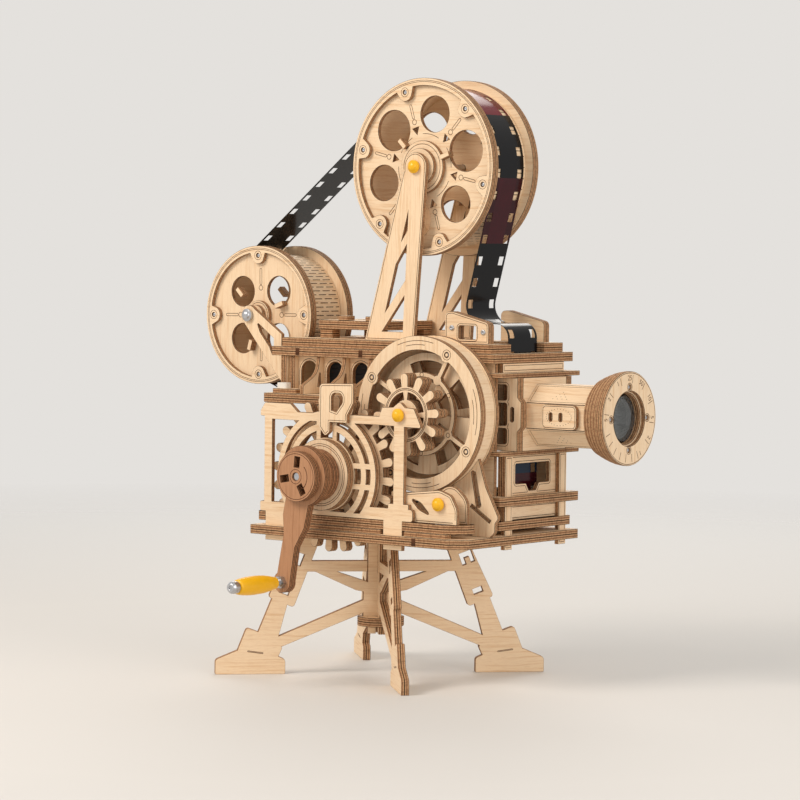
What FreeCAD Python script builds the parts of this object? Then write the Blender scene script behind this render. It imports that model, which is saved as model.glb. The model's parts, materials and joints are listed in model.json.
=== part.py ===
"""Hand cranked film projector kit of laser cut plywood on a four legged stand.

Row frame: +X runs forward along the lens axis, +Z is up, and the crank is on the -Y side.
The origin is on the table, under the hub where the two leg frames cross. Sizes are millimetres.
"""

import FreeCAD
import Part

import math
import os

from FreeCAD import Placement, Rotation, Vector

SIZES = {
    # sheet stock and fits
    "ply": 2.35,
    "running_gap": 0.06,
    "slot_gap": 0.03,
    "seat_gap": 0.3,
    # stand
    "leg_thick": 4.0,
    "leg_turn": 47.0,
    "foot_inner": 49.5,
    "foot_outer": 85.5,
    "foot_side": 7.6,
    "hub_disc_radius": 12.0,
    "hub_disc_bottom": 24.7,
    "column_half": 9.4,
    "lap_height": 52.0,
    # base plates
    "base_bottom": 72.3,
    "base_rear": -46.5,
    "base_front": 88.5,
    "base_margin": 4.0,
    "base_inset": 3.0,
    "corner_cut": 8.0,
    # crank side frame and gears, heights above the base's top
    "crank_x": 1.5,
    "crank_rise": 20.85,
    "shutter_x": 48.1,
    "shutter_rise": 52.55,
    "gear_teeth": 24,
    "pinion_teeth": 12,
    "tooth_root_half": 2.0,
    "tooth_tip_half": 2.3,
    "gear_inside": 5.0,
    "wheel_gap": 0.4,
    "shaft_radius": 2.0,
    "ring_outer": 32.0,
    "ring_band": 3.5,
    "ring_gap": 2.6,
    "bearing_disc_radius": 17.9,
    "hub_stack_radius": 13.0,
    "crank_arm_length": 55.3,
    "crank_arm_lean": 13.0,
    "grip_screw_radius": 1.5,
    "crank_disc_radius": 12.5,
    "arm_head_radius": 15.2,
    "grip_length": 29.0,
    "grip_radius": 4.7,
    # film roller and its belt
    "idler_x": 71.8,
    "idler_rise": 9.65,
    "roller_radius": 4.6,
    "crank_pulley_radius": 12.0,
    "idler_pulley_radius": 6.0,
    # shutter drum between the gears and the body
    "drum_radius": 39.0,
    "drum_standoff": 20.0,
    "drum_depth": 15.0,
    "drum_ring_width": 7.0,
    "barrel_shutter_radius": 14.0,
    # body box
    "lens_y": 17.0,
    "wall_half": 29.0,
    "deck_rise": 59.25,
    "deck_end": 6.0,
    "deck_apron": 18.0,
    "gallery_height": 19.0,
    "window_pitch": 17.2,
    "wall_rear": -58.0,
    "wall_step": -34.0,
    "wall_front": 80.65,
    "roof_overhang": 4.5,
    "roof_rear": -62.0,
    "roof_front": 83.5,
    "panel_inset": 3.0,
    "post_width": 6.3,
    "shelf_front": 88.0,
    "plinth_height": 7.55,
    # lens
    "mount_front": 90.0,
    "mount_half": 23.0,
    "mount_below": 20.15,
    "mount_above": 18.7,
    "barrel_apothem": 15.4,
    "barrel_front": 127.0,
    "tube_slack": 0.85,
    "lens_ring_radius": 23.3,
    "lens_ring_taper": 3.8,
    "lens_ring_layers": 6,
    # light
    "lamp_x": 12.0,
    "lamp_radius": 4.0,
    # reels and film
    "top_reel_x": 25.3,
    "top_reel_rise": 88.3,
    "top_reel_radius": 45.0,
    "top_reel_room": 2.5,
    "rear_reel_front": -48.5,
    "rear_reel_rise": 20.2,
    "rear_reel_radius": 36.5,
    "rear_reel_room": 0.6,
    "rim_step": 4.7,
    "reel_clearance": 2.0,
    "film_width": 24.2,
    "film_thick": 0.3,
    "gate_x": 75.6,
    "guide_inset": 2.0,
    "stand_inset": 4.0,
}

doc = FreeCAD.newDocument("projector_kit")
sheet = doc.addObject("Spreadsheet::Sheet", "Sizes")
for row, (alias, number) in enumerate(SIZES.items(), start=1):
    sheet.set(f"A{row}", alias)
    sheet.set(f"B{row}", str(number))
    sheet.setAlias(f"B{row}", alias)
doc.recompute()

PARTS = []


def size(alias):
    """Return the number that a cell of the sheet holds."""
    return float(sheet.get(alias))


# outlines in a plane


def flat(x, y):
    """Return a point of a sketch."""
    return Vector(x, y, 0)


def circle(x, y, radius):
    """Return a full circle as a loop of one edge."""
    return [Part.Circle(flat(x, y), Vector(0, 0, 1), radius)]


def polygon(points, radius=0.0):
    """Return a closed outline; a point may carry its own corner radius as a third number."""
    corners = []
    count = len(points)
    for index, point in enumerate(points):
        here = flat(point[0], point[1])
        before = flat(*points[index - 1][:2])
        after = flat(*points[(index + 1) % count][:2])
        wanted = point[2] if len(point) > 2 else radius
        into = (here - before).normalize()
        out = (after - here).normalize()
        turn = into.getAngle(out)
        if wanted <= 0 or turn < 1e-4:
            corners.append((here, here, here))
            continue
        reach = wanted * math.tan(turn / 2)
        start = here - into * reach
        end = here + out * reach
        inward = (out - into).normalize()
        centre = here + inward * (wanted / math.cos(turn / 2))
        middle = centre - inward * wanted
        corners.append((start, middle, end))
    edges = []
    for index, (start, middle, end) in enumerate(corners):
        last = corners[index - 1][2]
        if last.distanceToPoint(start) > 1e-6:
            edges.append(Part.LineSegment(last, start))
        if start.distanceToPoint(end) > 1e-6:
            edges.append(Part.Arc(start, middle, end))
    return edges


def box(x0, y0, x1, y1, radius=0.0):
    """Return a rectangle, its corners rounded if a radius is given."""
    return polygon([(x0, y0), (x1, y0), (x1, y1), (x0, y1)], radius)


def bar(x0, y0, x1, y1, width):
    """Return a straight bar between two points."""
    along = flat(x1 - x0, y1 - y0).normalize()
    side = flat(-along.y, along.x) * (width / 2)
    ends = [flat(x0, y0) - side, flat(x1, y1) - side, flat(x1, y1) + side, flat(x0, y0) + side]
    return polygon([(p.x, p.y) for p in ends])


def slot(x0, y0, x1, y1, width):
    """Return a bar with half round ends."""
    along = flat(x1 - x0, y1 - y0).normalize()
    half = width / 2
    side = flat(-along.y, along.x) * half
    first, second = flat(x0, y0), flat(x1, y1)
    return [
        Part.LineSegment(first - side, second - side),
        Part.Arc(second - side, second + along * half, second + side),
        Part.LineSegment(second + side, first + side),
        Part.Arc(first + side, first - along * half, first - side),
    ]


def polar(x, y, radius, degrees):
    """Return the point at a distance and a direction from a centre."""
    angle = math.radians(degrees)
    return (x + radius * math.cos(angle), y + radius * math.sin(angle))


def sector(x, y, inner, outer, start, end):
    """Return a window between two radii and two directions."""
    middle = (start + end) / 2
    a, b = flat(*polar(x, y, inner, start)), flat(*polar(x, y, outer, start))
    c, d = flat(*polar(x, y, outer, end)), flat(*polar(x, y, inner, end))
    return [
        Part.LineSegment(a, b),
        Part.Arc(b, flat(*polar(x, y, outer, middle)), c),
        Part.LineSegment(c, d),
        Part.Arc(d, flat(*polar(x, y, inner, middle)), a),
    ]


def arch(x, bottom, half, top):
    """Return a window with a straight sill and a round head."""
    spring = top - half
    left, right = flat(x - half, bottom), flat(x + half, bottom)
    return [
        Part.LineSegment(left, right),
        Part.LineSegment(right, flat(x + half, spring)),
        Part.Arc(flat(x + half, spring), flat(x, top), flat(x - half, spring)),
        Part.LineSegment(flat(x - half, spring), left),
    ]


def mirrored(points):
    """Return an outline's points reflected across the vertical, in the same turning sense."""
    return [(-p[0],) + tuple(p[1:]) for p in reversed(points)]


def petal_wheel(x, y, teeth, pitch_radius, first):
    """Return the outline of a gear with long round ended teeth."""
    root_half, tip_half = size("tooth_root_half"), size("tooth_tip_half")
    step = 360.0 / teeth
    root = pitch_radius - 1.5 * module
    tip = pitch_radius + 0.6 * module
    shoulder = tip - tip_half
    edges = []
    for index in range(teeth):
        middle = first + index * step
        root_turn = math.degrees(math.asin(root_half / root))
        top_turn = math.degrees(math.atan2(tip_half, shoulder))
        reach = math.hypot(tip_half, shoulder)
        a = flat(*polar(x, y, root, middle - root_turn))
        b = flat(*polar(x, y, reach, middle - top_turn))
        c = flat(*polar(x, y, tip, middle))
        d = flat(*polar(x, y, reach, middle + top_turn))
        e = flat(*polar(x, y, root, middle + root_turn))
        hollow = flat(*polar(x, y, root, middle + step / 2))
        following = flat(*polar(x, y, root, middle + step - root_turn))
        edges += [
            Part.LineSegment(a, b),
            Part.Arc(b, c, d),
            Part.LineSegment(d, e),
            Part.Arc(e, hollow, following),
        ]
    return edges


# solids

PLANES = {"XY": "XY_Plane", "XZ": "XZ_Plane", "YZ": "YZ_Plane"}
GROWS_BACK = {"XY": False, "XZ": True, "YZ": False}


def place(body, where, turn=None):
    """Bind the position of a sub-part to the sheet, and turn it about Z if asked."""
    if turn:
        body.Placement = Placement(Vector(0, 0, 0), Rotation(Vector(0, 0, 1), size(turn[0]) + turn[1]))
        body.setExpression("Placement.Rotation.Angle", f"Sizes.{turn[0]} * 1 deg + {turn[1]} * 1 deg")
    for axis, formula in where.items():
        body.setExpression(f"Placement.Base.{axis}", formula)


def new_sketch(body, plane, loops, name):
    """Draw loops on one of the body's own origin planes."""
    sketch = body.newObject("Sketcher::SketchObject", name)
    origin = [o for o in body.Origin.OriginFeatures if o.Role == PLANES[plane]][0]
    sketch.AttachmentSupport = [(origin, "")]
    sketch.MapMode = "FlatFace"
    for loop in loops:
        sketch.addGeometry(loop, False)
    return sketch


def sheet_part(label, plane, pads, cuts=(), thick="Sizes.ply", where=None, turn=None, keep=True,
               centred=False):
    """Make a flat piece: every pad is a list of loops, and every cut goes right through."""
    body = doc.addObject("PartDesign::Body", label)
    features = []
    for index, loops in enumerate(pads):
        pad = body.newObject("PartDesign::Pad", f"{label}_pad{index}")
        pad.Profile = new_sketch(body, plane, loops, f"{label}_outline{index}")
        pad.Reversed = GROWS_BACK[plane]
        pad.Midplane = centred
        pad.setExpression("Length", thick)
        features.append(pad)
    for index, loops in enumerate(cuts):
        pocket = body.newObject("PartDesign::Pocket", f"{label}_cut{index}")
        pocket.Profile = new_sketch(body, plane, loops, f"{label}_holes{index}")
        pocket.Type = "ThroughAll"
        pocket.Midplane = True
        features.append(pocket)
    for feature in features:
        feature.Refine = feature is features[-1]
    place(body, where or {}, turn)
    if keep:
        PARTS.append((label, [body]))
    return body


def turned_part(label, profile, axis, where, keep=True):
    """Make a round piece about X or Y: profile holds (distance along the axis, radius) corners."""
    body = doc.addObject("PartDesign::Body", label)
    along_x = axis == "X"
    corners = profile if along_x else [(p[1], p[0]) + tuple(p[2:]) for p in profile]
    sketch = new_sketch(body, "XY", [polygon(corners)], f"{label}_profile")
    turn = body.newObject("PartDesign::Revolution", f"{label}_turned")
    turn.Profile = sketch
    turn.ReferenceAxis = (sketch, ["H_Axis" if along_x else "V_Axis"])
    turn.Angle = 360
    place(body, where)
    if keep:
        PARTS.append((label, [body]))
    return body


def rod(start, end, radius):
    """Return the profile of a plain rod."""
    return [(start, 0), (end, 0), (end, radius), (start, radius)]


def group(label, bodies):
    """Let several like pieces share one node."""
    PARTS.append((label, bodies))


# values that several pieces share

ply = size("ply")
gap = size("running_gap")
slack = size("slot_gap")
seat = size("seat_gap")
shaft = size("shaft_radius")
bore = shaft + gap

LOWER_BASE_Z = "Sizes.base_bottom"
UPPER_BASE_Z = "Sizes.base_bottom + 3 * Sizes.ply"
BASE_TOP_Z = "Sizes.base_bottom + 5 * Sizes.ply"
disc_bottom = size("hub_disc_bottom")
disc_top = disc_bottom + 2 * ply
base_bottom = size("base_bottom")
lower_top = base_bottom + 2 * ply
base_top = lower_top + 3 * ply
lens_y, wall_half = size("lens_y"), size("wall_half")
base_rear, base_front = size("base_rear"), size("base_front")
base_half = lens_y + wall_half + size("base_margin")

CRANK = {"x": "Sizes.crank_x", "z": f"{BASE_TOP_Z} + Sizes.crank_rise"}
SHUTTER = {"x": "Sizes.shutter_x", "z": f"{BASE_TOP_Z} + Sizes.shutter_rise"}
IDLER = {"x": "Sizes.idler_x", "z": f"{BASE_TOP_Z} + Sizes.idler_rise"}
crank_x, crank_z = size("crank_x"), base_top + size("crank_rise")
shutter_x, shutter_z = size("shutter_x"), base_top + size("shutter_rise")
idler_x, idler_z = size("idler_x"), base_top + size("idler_rise")
gear_teeth, pinion_teeth = int(size("gear_teeth")), int(size("pinion_teeth"))
centre_distance = math.hypot(shutter_x - crank_x, shutter_z - crank_z)
mesh_angle = math.degrees(math.atan2(shutter_z - crank_z, shutter_x - crank_x))
gear_pitch = centre_distance * gear_teeth / (gear_teeth + pinion_teeth)
pinion_pitch = centre_distance - gear_pitch
module = 2 * gear_pitch / gear_teeth
gear_tip = gear_pitch + 0.6 * module

FRAME_FACE = "Sizes.base_inset - Sizes.lens_y - Sizes.wall_half - Sizes.base_margin"
GEAR_FACE = f"{FRAME_FACE} + Sizes.gear_inside"
NEAR_WALL_Y = "Sizes.lens_y - Sizes.wall_half"
FAR_WALL_Y = "Sizes.lens_y + Sizes.wall_half - Sizes.ply"
DRUM_FACE = f"{NEAR_WALL_Y} - Sizes.drum_standoff"
frame_face = size("base_inset") - base_half
gear_face = frame_face + size("gear_inside")
near_wall_y = lens_y - wall_half
far_wall_y = lens_y + wall_half - ply
drum_radius = size("drum_radius")
drum_face = near_wall_y - size("drum_standoff")

DECK_TOP_Z = f"{BASE_TOP_Z} + Sizes.deck_rise"
CORNICE_Z = f"{DECK_TOP_Z} + Sizes.gallery_height"
ROOF_Z = f"{CORNICE_Z} + 2 * Sizes.ply"
ROOF_TOP_Z = f"{CORNICE_Z} + 4 * Sizes.ply"
deck_top = base_top + size("deck_rise")
deck_bottom = deck_top - 2 * ply
cornice_z = deck_top + size("gallery_height")
roof_top = cornice_z + 4 * ply
wall_rear, wall_step, wall_front = size("wall_rear"), size("wall_step"), size("wall_front")
roof_half, roof_rear, roof_front = wall_half + size("roof_overhang"), size("roof_rear"), size("roof_front")
panel_half = wall_half - size("panel_inset")
stand_spread = wall_half - size("stand_inset")
shelf_front, mount_front = size("shelf_front"), size("mount_front")
mount_inside = size("mount_half") - 2 * ply

TOP_REEL = {"x": "Sizes.top_reel_x", "z": f"{ROOF_TOP_Z} + Sizes.top_reel_rise"}
REAR_REEL = {"x": "Sizes.rear_reel_front - Sizes.rear_reel_radius",
             "z": f"{CORNICE_Z} + Sizes.rear_reel_rise"}
top_reel_x, top_reel_z = size("top_reel_x"), roof_top + size("top_reel_rise")
rear_reel_x = size("rear_reel_front") - size("rear_reel_radius")
rear_reel_z = cornice_z + size("rear_reel_rise")
gate_x = size("gate_x")
film_half = size("film_width") / 2


# stand: two flat frames crossed at the hub


def leg_outlines():
    """Return the outlines of one leg by name, on the positive side of its frame."""
    inner, outer, side = size("foot_inner"), size("foot_outer"), size("foot_side")
    column = size("column_half")
    top = base_bottom
    return {
        "foot": [(inner, 0, 0.6), (outer, 0, 0.6), (outer, side, 2.2), (outer - 11, side + 4.6, 1.0),
                 (inner + 4.8, side + 2.0, 0.5), (inner, side - 0.2, 2.0)],
        "ankle": [(inner + 4.2, side), (outer - 9.5, side), (outer - 16.0, 24.0, 1.6),
                  (outer - 22.6, 21.5, 0.3), (inner + 6.0, 18.6, 0.3), (inner + 1.6, 13.4, 0.6)],
        "shin": [(inner + 5.0, 14.0), (outer - 18.0, 12.0), (56.0, 40.4), (48.3, 37.2)],
        "block": [(45.4, 34.2, 1.6), (58.6, 39.6, 1.6), (43.0, top), (31.0, top)],
        "tie": [(column - 2, 52.6), (42.0, 52.6), (42.0, 58.2), (column - 2, 58.2)],
        "low_strut": [(column - 2, disc_top + 2.6), (inner + 3.5, 13.4), (inner + 5.5, 18.6),
                      (column - 2, disc_top + 9.4)],
        "short_strut": [(column - 3, 41.6), (column + 4, 43.0), (35.0, 52.8), (24.0, 52.8),
                        (column - 3, 47.0)],
    }


def both_sides(*outlines):
    """Return each outline and its reflection as loops of one sketch."""
    loops = []
    for points in outlines:
        loops += [polygon(points), polygon(mirrored(points))]
    return loops


def leg_windows():
    """Return the hooked window and the slot of each upper block."""
    hook = ((0, -3.4), (0, -1.3), (3.4, -1.3), (3.4, 1.3), (0, 1.3), (0, 3.4), (6.4, 3.4), (6.4, -3.4))
    loops = []
    for side in (-1, 1):
        tilt = math.radians(side * 21.0)
        along, across = flat(-math.sin(tilt), math.cos(tilt)), flat(math.cos(tilt), math.sin(tilt))
        corner = flat(side * 45.4, 56.6)
        spots = [corner + along * up - across * out for up, out in hook]
        loops.append(polygon([(spot.x, spot.y) for spot in spots]))
        middle = flat(side * 50.2, 42.6)
        start, end = middle - across * 2.6, middle + across * 2.6
        loops.append(bar(start.x, start.y, end.x, end.y, 3.0))
    return loops


def hub_tenon():
    """Return how near and how far from the axis a frame's tenon through the hub disc lies."""
    near = size("leg_thick") / 2 + 0.8
    return near, near + 4.2


def leg_frame(label, slot_from_top, turn_extra):
    """Make one crossed leg frame with its half lap slot on one side of the hub."""
    half = size("leg_thick") / 2 + slack
    lap_height = size("lap_height")
    column = size("column_half")
    tenon_in, tenon_out = hub_tenon()
    tenon_low = disc_bottom - 4.2
    top = base_bottom
    leg = leg_outlines()
    post = polygon([(-column, disc_top), (column, disc_top), (column, 44.0, 1.0), (7.2, 47.0), (7.2, top),
                    (-7.2, top), (-7.2, 47.0), (-column, 44.0, 1.0)])
    tenon = [(tenon_in, tenon_low), (tenon_out, tenon_low), (tenon_out, disc_top + 1),
             (tenon_in, disc_top + 1)]
    pads = [
        [post],
        both_sides(leg["low_strut"], tenon),
        both_sides(leg["tie"]),
        both_sides(leg["foot"], leg["block"]),
        both_sides(leg["ankle"]),
        both_sides(leg["shin"], leg["short_strut"]),
    ]
    lap_low, lap_high = (lap_height, top + 1) if slot_from_top else (tenon_low - 1, lap_height)
    lap = box(-half, lap_low, half, lap_high)
    sheet_part(label, "XZ", pads, [leg_windows() + [lap]], thick="Sizes.leg_thick",
               turn=("leg_turn", turn_extra), centred=True)


leg_frame("leg_frame_left_right", True, 0)
leg_frame("leg_frame_front_back", False, -90)


def hub_disc():
    """Make the round disc under the hub, with cross slots for the four tenons."""
    half = size("leg_thick") / 2 + slack
    cuts = []
    tenon_in, tenon_out = hub_tenon()
    for side in (-1, 1):
        x0, x1 = sorted((side * (tenon_in - slack), side * (tenon_out + slack)))
        cuts += [box(x0, -half, x1, half), box(-half, x0, half, x1)]
    sheet_part("leg_hub_disc", "XY", [[circle(0, 0, size("hub_disc_radius"))]], [cuts],
               thick="2 * Sizes.ply", where={"z": "Sizes.hub_disc_bottom"}, turn=("leg_turn", 0))


hub_disc()


# base plates, with slots for the big gear, the frame tenons and the front posts


def gear_slot(level):
    """Return the slot that the big gear dips through, at a plate whose top is at level."""
    drop = crank_z - level
    half = math.sqrt(max(gear_tip ** 2 - drop ** 2, 1.0)) + 1.5
    return box(crank_x - half, gear_face - 0.8, crank_x + half, gear_face + 2 * ply + 0.8)


FRAME_TENONS = ((crank_x - 40.0, crank_x - 27.5), (shutter_x - 9.6, shutter_x + 2.4))
WALL_TENONS = ((wall_step + 4.0, wall_step + 16.0), (wall_front - 50.65, wall_front - 38.65))


def tenon_slots(tenons, y):
    """Return slots for the tenons of an upright plate."""
    return [box(x0 - slack, y - slack, x1 + slack, y + ply + slack) for x0, x1 in tenons]


def post_spans():
    """Return where each front post starts and ends across the body."""
    inner = panel_half - size("post_width")
    return [(lens_y - panel_half, lens_y - inner), (lens_y + inner, lens_y + panel_half)]


def post_slots():
    """Return the two slots that the front posts pass through."""
    start, end = wall_front + ply - slack, wall_front + 2 * ply + slack
    return [box(start, y0 - slack, end, y1 + slack) for y0, y1 in post_spans()]


def plate_outline(inset, notch):
    """Return a base plate's outline with its near front corner cut off."""
    rear, front, half = base_rear + inset, base_front - inset, base_half - inset
    cut = size("corner_cut")
    outline = [(rear, -half, 1.0), (front - cut, -half, 1.0), (front, cut - half, 1.0)]
    if notch:
        near, far, depth = drum_face - 1.0, drum_face + 18.0, idler_x - 1.8
        outline += [(front, near, 1.5), (depth, near), (depth, far), (front, far)]
    return outline + [(front, half, 1.0), (rear, half, 1.0)]


def base_plates():
    """Make both double plates of the base and the strips between them."""
    walls = tenon_slots(WALL_TENONS, near_wall_y) + tenon_slots(WALL_TENONS, far_wall_y)
    upright = tenon_slots(FRAME_TENONS, frame_face) + walls + post_slots()
    sheet_part("base_lower_plate", "XY", [[polygon(plate_outline(0.0, False))]],
               [[gear_slot(lower_top)] + upright], thick="2 * Sizes.ply", where={"z": LOWER_BASE_Z})
    sheet_part("base_upper_plate", "XY", [[polygon(plate_outline(size("base_inset"), True))]],
               [[gear_slot(base_top)] + upright], thick="2 * Sizes.ply", where={"z": UPPER_BASE_Z})
    near = -base_half + 2.0
    inner = near_wall_y + ply + 2.0
    strips = [
        (FRAME_TENONS[0][1] + 14.0, near, FRAME_TENONS[1][0] - 1.5, near + 4.6),
        (FRAME_TENONS[1][1] + 1.5, near, base_front - 10.0, near + 4.6),
        (base_rear + 6.5, lens_y + 8, base_rear + 26.5, lens_y + 18),
        (crank_x + 3.5, lens_y + 8, crank_x + 23.5, lens_y + 18),
        (wall_front - 20.0, lens_y + 8, wall_front - 8.0, lens_y + 18),
        (base_rear + 6.5, inner, base_rear + 24.5, inner + 7),
        (idler_x - 15.8, drum_face + 2, idler_x - 3.8, drum_face + 12),
        (crank_x + 3.5, inner, crank_x + 23.5, inner + 7),
    ]
    made = []
    for index, strip in enumerate(strips):
        made.append(sheet_part(f"base_spacer_{index}", "XY", [[box(*strip, 0.8)]],
                               where={"z": "Sizes.base_bottom + 2 * Sizes.ply"}, keep=False))
    group("base_spacers", made)


base_plates()


# crank side frame


def crank_side_frame():
    """Make the upright plate that carries the crank bearing and the shutter shaft."""
    ring, band, between = size("ring_outer"), size("ring_band"), size("ring_gap")
    inner_ring = ring - band - between
    rail_low, rail_top = crank_z + 26.3, crank_z + 30.6
    tenon_low = base_bottom - 2.8
    bars = []
    for degrees in (0, 90, 180):
        for shift in (-5.2, 5.2):
            along = flat(*polar(0, 0, 1, degrees))
            x, z = crank_x - along.y * shift, crank_z + along.x * shift
            bars.append(bar(x + along.x * 15, z + along.y * 15,
                            x + along.x * (ring - 1), z + along.y * (ring - 1), 3.0))
    cx, cz, sx, sz = crank_x, crank_z, shutter_x, shutter_z
    left_block = [(cx - 43.9, rail_low + 1.6, 0.5), (cx - 39.5, rail_low + 1.2), (cx - 21.5, rail_low, 1.0),
                  (cx - 19.0, rail_top), (cx - 24.0, cz + 34.7, 0.8), (cx - 40.9, cz + 34.7, 0.8),
                  (cx - 43.9, cz + 30.5, 0.5)]
    shaft_block = [(sx - 14.5, rail_low, 0.5), (sx + 13.9, rail_low - 0.6, 1.0), (sx + 8.9, sz + 3.6, 1.0),
                   (sx + 3.4, sz + 3.8), (sx, sz + 6.8, 2.0), (sx - 4.1, sz + 3.8),
                   (sx - 11.1, sz + 3.4, 1.0)]
    pads = [
        [box(cx - 41.1, base_top, sx + 3.1, rail_top), box(cx - 35.9, base_top + 2.4, sx - 3.5, rail_low)],
        [circle(cx, cz, ring), circle(cx, cz, ring - band)],
        bars,
        [circle(cx, cz, size("bearing_disc_radius") + 0.7)],
        [circle(cx, cz, inner_ring), circle(cx, cz, inner_ring - band)],
        [box(cx - 43.7, base_top, cx - 26.5, base_top + 5.2, 1.0),
         box(sx - 6.7, base_top + 5, sx + 6.3, base_top + 8.6, 0.6),
         polygon(left_block), polygon(shaft_block)],
        [box(sx - 22.1, base_top, sx + 8.9, base_top + 6.2, 1.6)],
        [box(x0, tenon_low, x1, base_top + 1) for x0, x1 in FRAME_TENONS],
    ]
    (rear_start, rear_end), (front_start, front_end) = FRAME_TENONS
    under = tenon_low - 1
    below = [box(rear_start - 20, under, rear_start, base_top), box(rear_end, under, front_start, base_top),
             box(front_end, under, front_end + 20, base_top)]
    holes = [circle(cx, cz, bore), circle(sx, sz, bore)]
    sheet_part("crank_side_frame", "XZ", pads, [below, holes], where={"y": FRAME_FACE})


crank_side_frame()


def hook_bracket():
    """Make the hooked plate that ties the side frame to the shutter drum."""
    x, z = crank_x, crank_z
    outline = [
        (x - 3.1, z + 45.7, 2.6), (x + 19.0, z + 46.3), (x + 19.0, z + 36.6, 1.5),
        (x + 15.0, z + 30.1, 1.0), (x + 15.0, z + 26.5), (x + 3.9, z + 26.5), (x + 3.9, z + 21.6, 1.0),
        (x + 0.9, z + 19.3, 1.4), (x - 3.1, z + 23.7, 1.2),
    ]
    window = [(x + 4.7, z + 32.5), (x + 8.1, z + 31.7), (x + 12.1, z + 36.5, 2.5),
              (x + 12.1, z + 41.3, 2.6), (x + 4.7, z + 41.3, 2.6)]
    sheet_part("hook_bracket", "XZ", [[polygon(outline)]], [[polygon(window)]],
               where={"y": f"{FRAME_FACE} - Sizes.ply"})


hook_bracket()

sheet_part("crank_bearing_disc", "XZ", [[circle(crank_x, crank_z, size("bearing_disc_radius"))]],
           [[circle(crank_x, crank_z, bore)]], thick="2 * Sizes.ply",
           where={"y": f"{FRAME_FACE} - 2 * Sizes.ply"})


def idler_bracket():
    """Make the two rounded cheeks that carry the outer end of the roller shaft."""
    x, z = idler_x, idler_z
    front = [
        (x - 16.8, base_top, 0.5), (x + 10.8, base_top, 0.5), (x + 10.8, z - 2.0, 6.0),
        (x + 7.0, z + 4.6, 4.0), (x, z + 7.0, 9.0), (x - 22.8, z + 4.4, 0.8), (x - 22.8, z - 1.0, 0.8),
    ]
    leaf = [(x - 18.3, z + 2.2, 0.6), (x - 11.8, z + 0.6, 8.0), (x - 4.8, z - 6.3, 0.6),
            (x - 12.8, z - 3.4, 8.0)]
    rear = [
        (x - 5.8, base_top), (x + 11.2, base_top), (x + 11.2, z + 2, 8.0), (x + 1.0, z + 11.0, 8.0),
        (x - 9.8, z + 2.0, 7.0),
    ]
    first = sheet_part("idler_bracket_front", "XZ", [[polygon(front)]],
                       [[circle(x, z, bore), polygon(leaf)]],
                       where={"y": f"{FRAME_FACE} + Sizes.ply"}, keep=False)
    second = sheet_part("idler_bracket_rear", "XZ", [[polygon(rear)]], [[circle(x, z, bore)]],
                        where={"y": f"{GEAR_FACE} + 2 * Sizes.ply + Sizes.wheel_gap"}, keep=False)
    group("idler_bracket", [first, second])


idler_bracket()


# crank: shaft, gear, hub stack, arm, disc, handle


def big_gear():
    """Make the gear on the crank shaft, with a tooth gap on the line to the pinion."""
    first = mesh_angle + 180.0 / gear_teeth
    cuts = [circle(crank_x, crank_z, shaft)]
    for index in range(6):
        middle = 30 + 60 * index
        cuts.append(sector(crank_x, crank_z, 11.0, gear_pitch - 12.1, middle - 23, middle + 23))
    rim = petal_wheel(crank_x, crank_z, gear_teeth, gear_pitch, first)
    sheet_part("crank_gear", "XZ", [[rim]], [cuts], thick="2 * Sizes.ply", where={"y": GEAR_FACE})


big_gear()

hub_outer = frame_face - 2 * ply - seat
stack_face = hub_outer - 4 * ply
arm_face = stack_face - 2 * ply
disc_face = arm_face - 2 * ply
belt_y = near_wall_y + ply + 2.0
belt_width = 3.0

crank_shaft_rod = turned_part("crank_shaft_rod", rod(disc_face + 0.6, belt_y + belt_width + 3.0, shaft),
                              "Y", CRANK, keep=False)


def pulley_profile(radius):
    """Return a belt pulley: a groove between two rims, on a bore."""
    start, end = belt_y - 0.8, belt_y + belt_width + 0.8
    rim = radius + 1.4
    return [(start, shaft), (end, shaft), (end, rim), (end - 0.6, rim), (end - 0.6, radius),
            (start + 0.6, radius), (start + 0.6, rim), (start, rim)]


crank_pulley = turned_part("crank_pulley_wheel", pulley_profile(size("crank_pulley_radius")), "Y",
                           CRANK, keep=False)
group("crank_shaft", [crank_shaft_rod, crank_pulley])

sheet_part("crank_hub_stack", "XZ", [[circle(crank_x, crank_z, size("hub_stack_radius"))]],
           [[circle(crank_x, crank_z, shaft)]], thick="4 * Sizes.ply",
           where={"y": f"{FRAME_FACE} - 6 * Sizes.ply - Sizes.seat_gap"})

screw = size("grip_screw_radius")
lean = math.radians(size("crank_arm_lean"))
arm_length = size("crank_arm_length")
grip_x = crank_x - arm_length * math.sin(lean)
grip_z = crank_z - arm_length * math.cos(lean)


def along_arm(distance, across):
    """Return a point beside the crank arm's centre line."""
    down = (-math.sin(lean), -math.cos(lean))
    return (crank_x + down[0] * distance - down[1] * across,
            crank_z + down[1] * distance + down[0] * across)


def crank_arm():
    """Make the two ply arm with its round head, stepped neck and round end."""
    neck = [along_arm(8, -7.6), along_arm(22, -7.4) + (4.0,), along_arm(31, -4.6) + (5.0,),
            along_arm(arm_length, -3.9), along_arm(arm_length, 5.2), along_arm(36, 4.0) + (5.0,),
            along_arm(25, 7.6) + (4.0,), along_arm(8, 7.6)]
    pads = [[circle(crank_x, crank_z, size("arm_head_radius"))], [polygon(neck)],
            [circle(grip_x, grip_z, 5.4)]]
    sheet_part("crank_arm", "XZ", pads, [[circle(crank_x, crank_z, shaft), circle(grip_x, grip_z, screw)]],
               thick="2 * Sizes.ply", where={"y": f"{FRAME_FACE} - 8 * Sizes.ply - Sizes.seat_gap"})


crank_arm()


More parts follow.
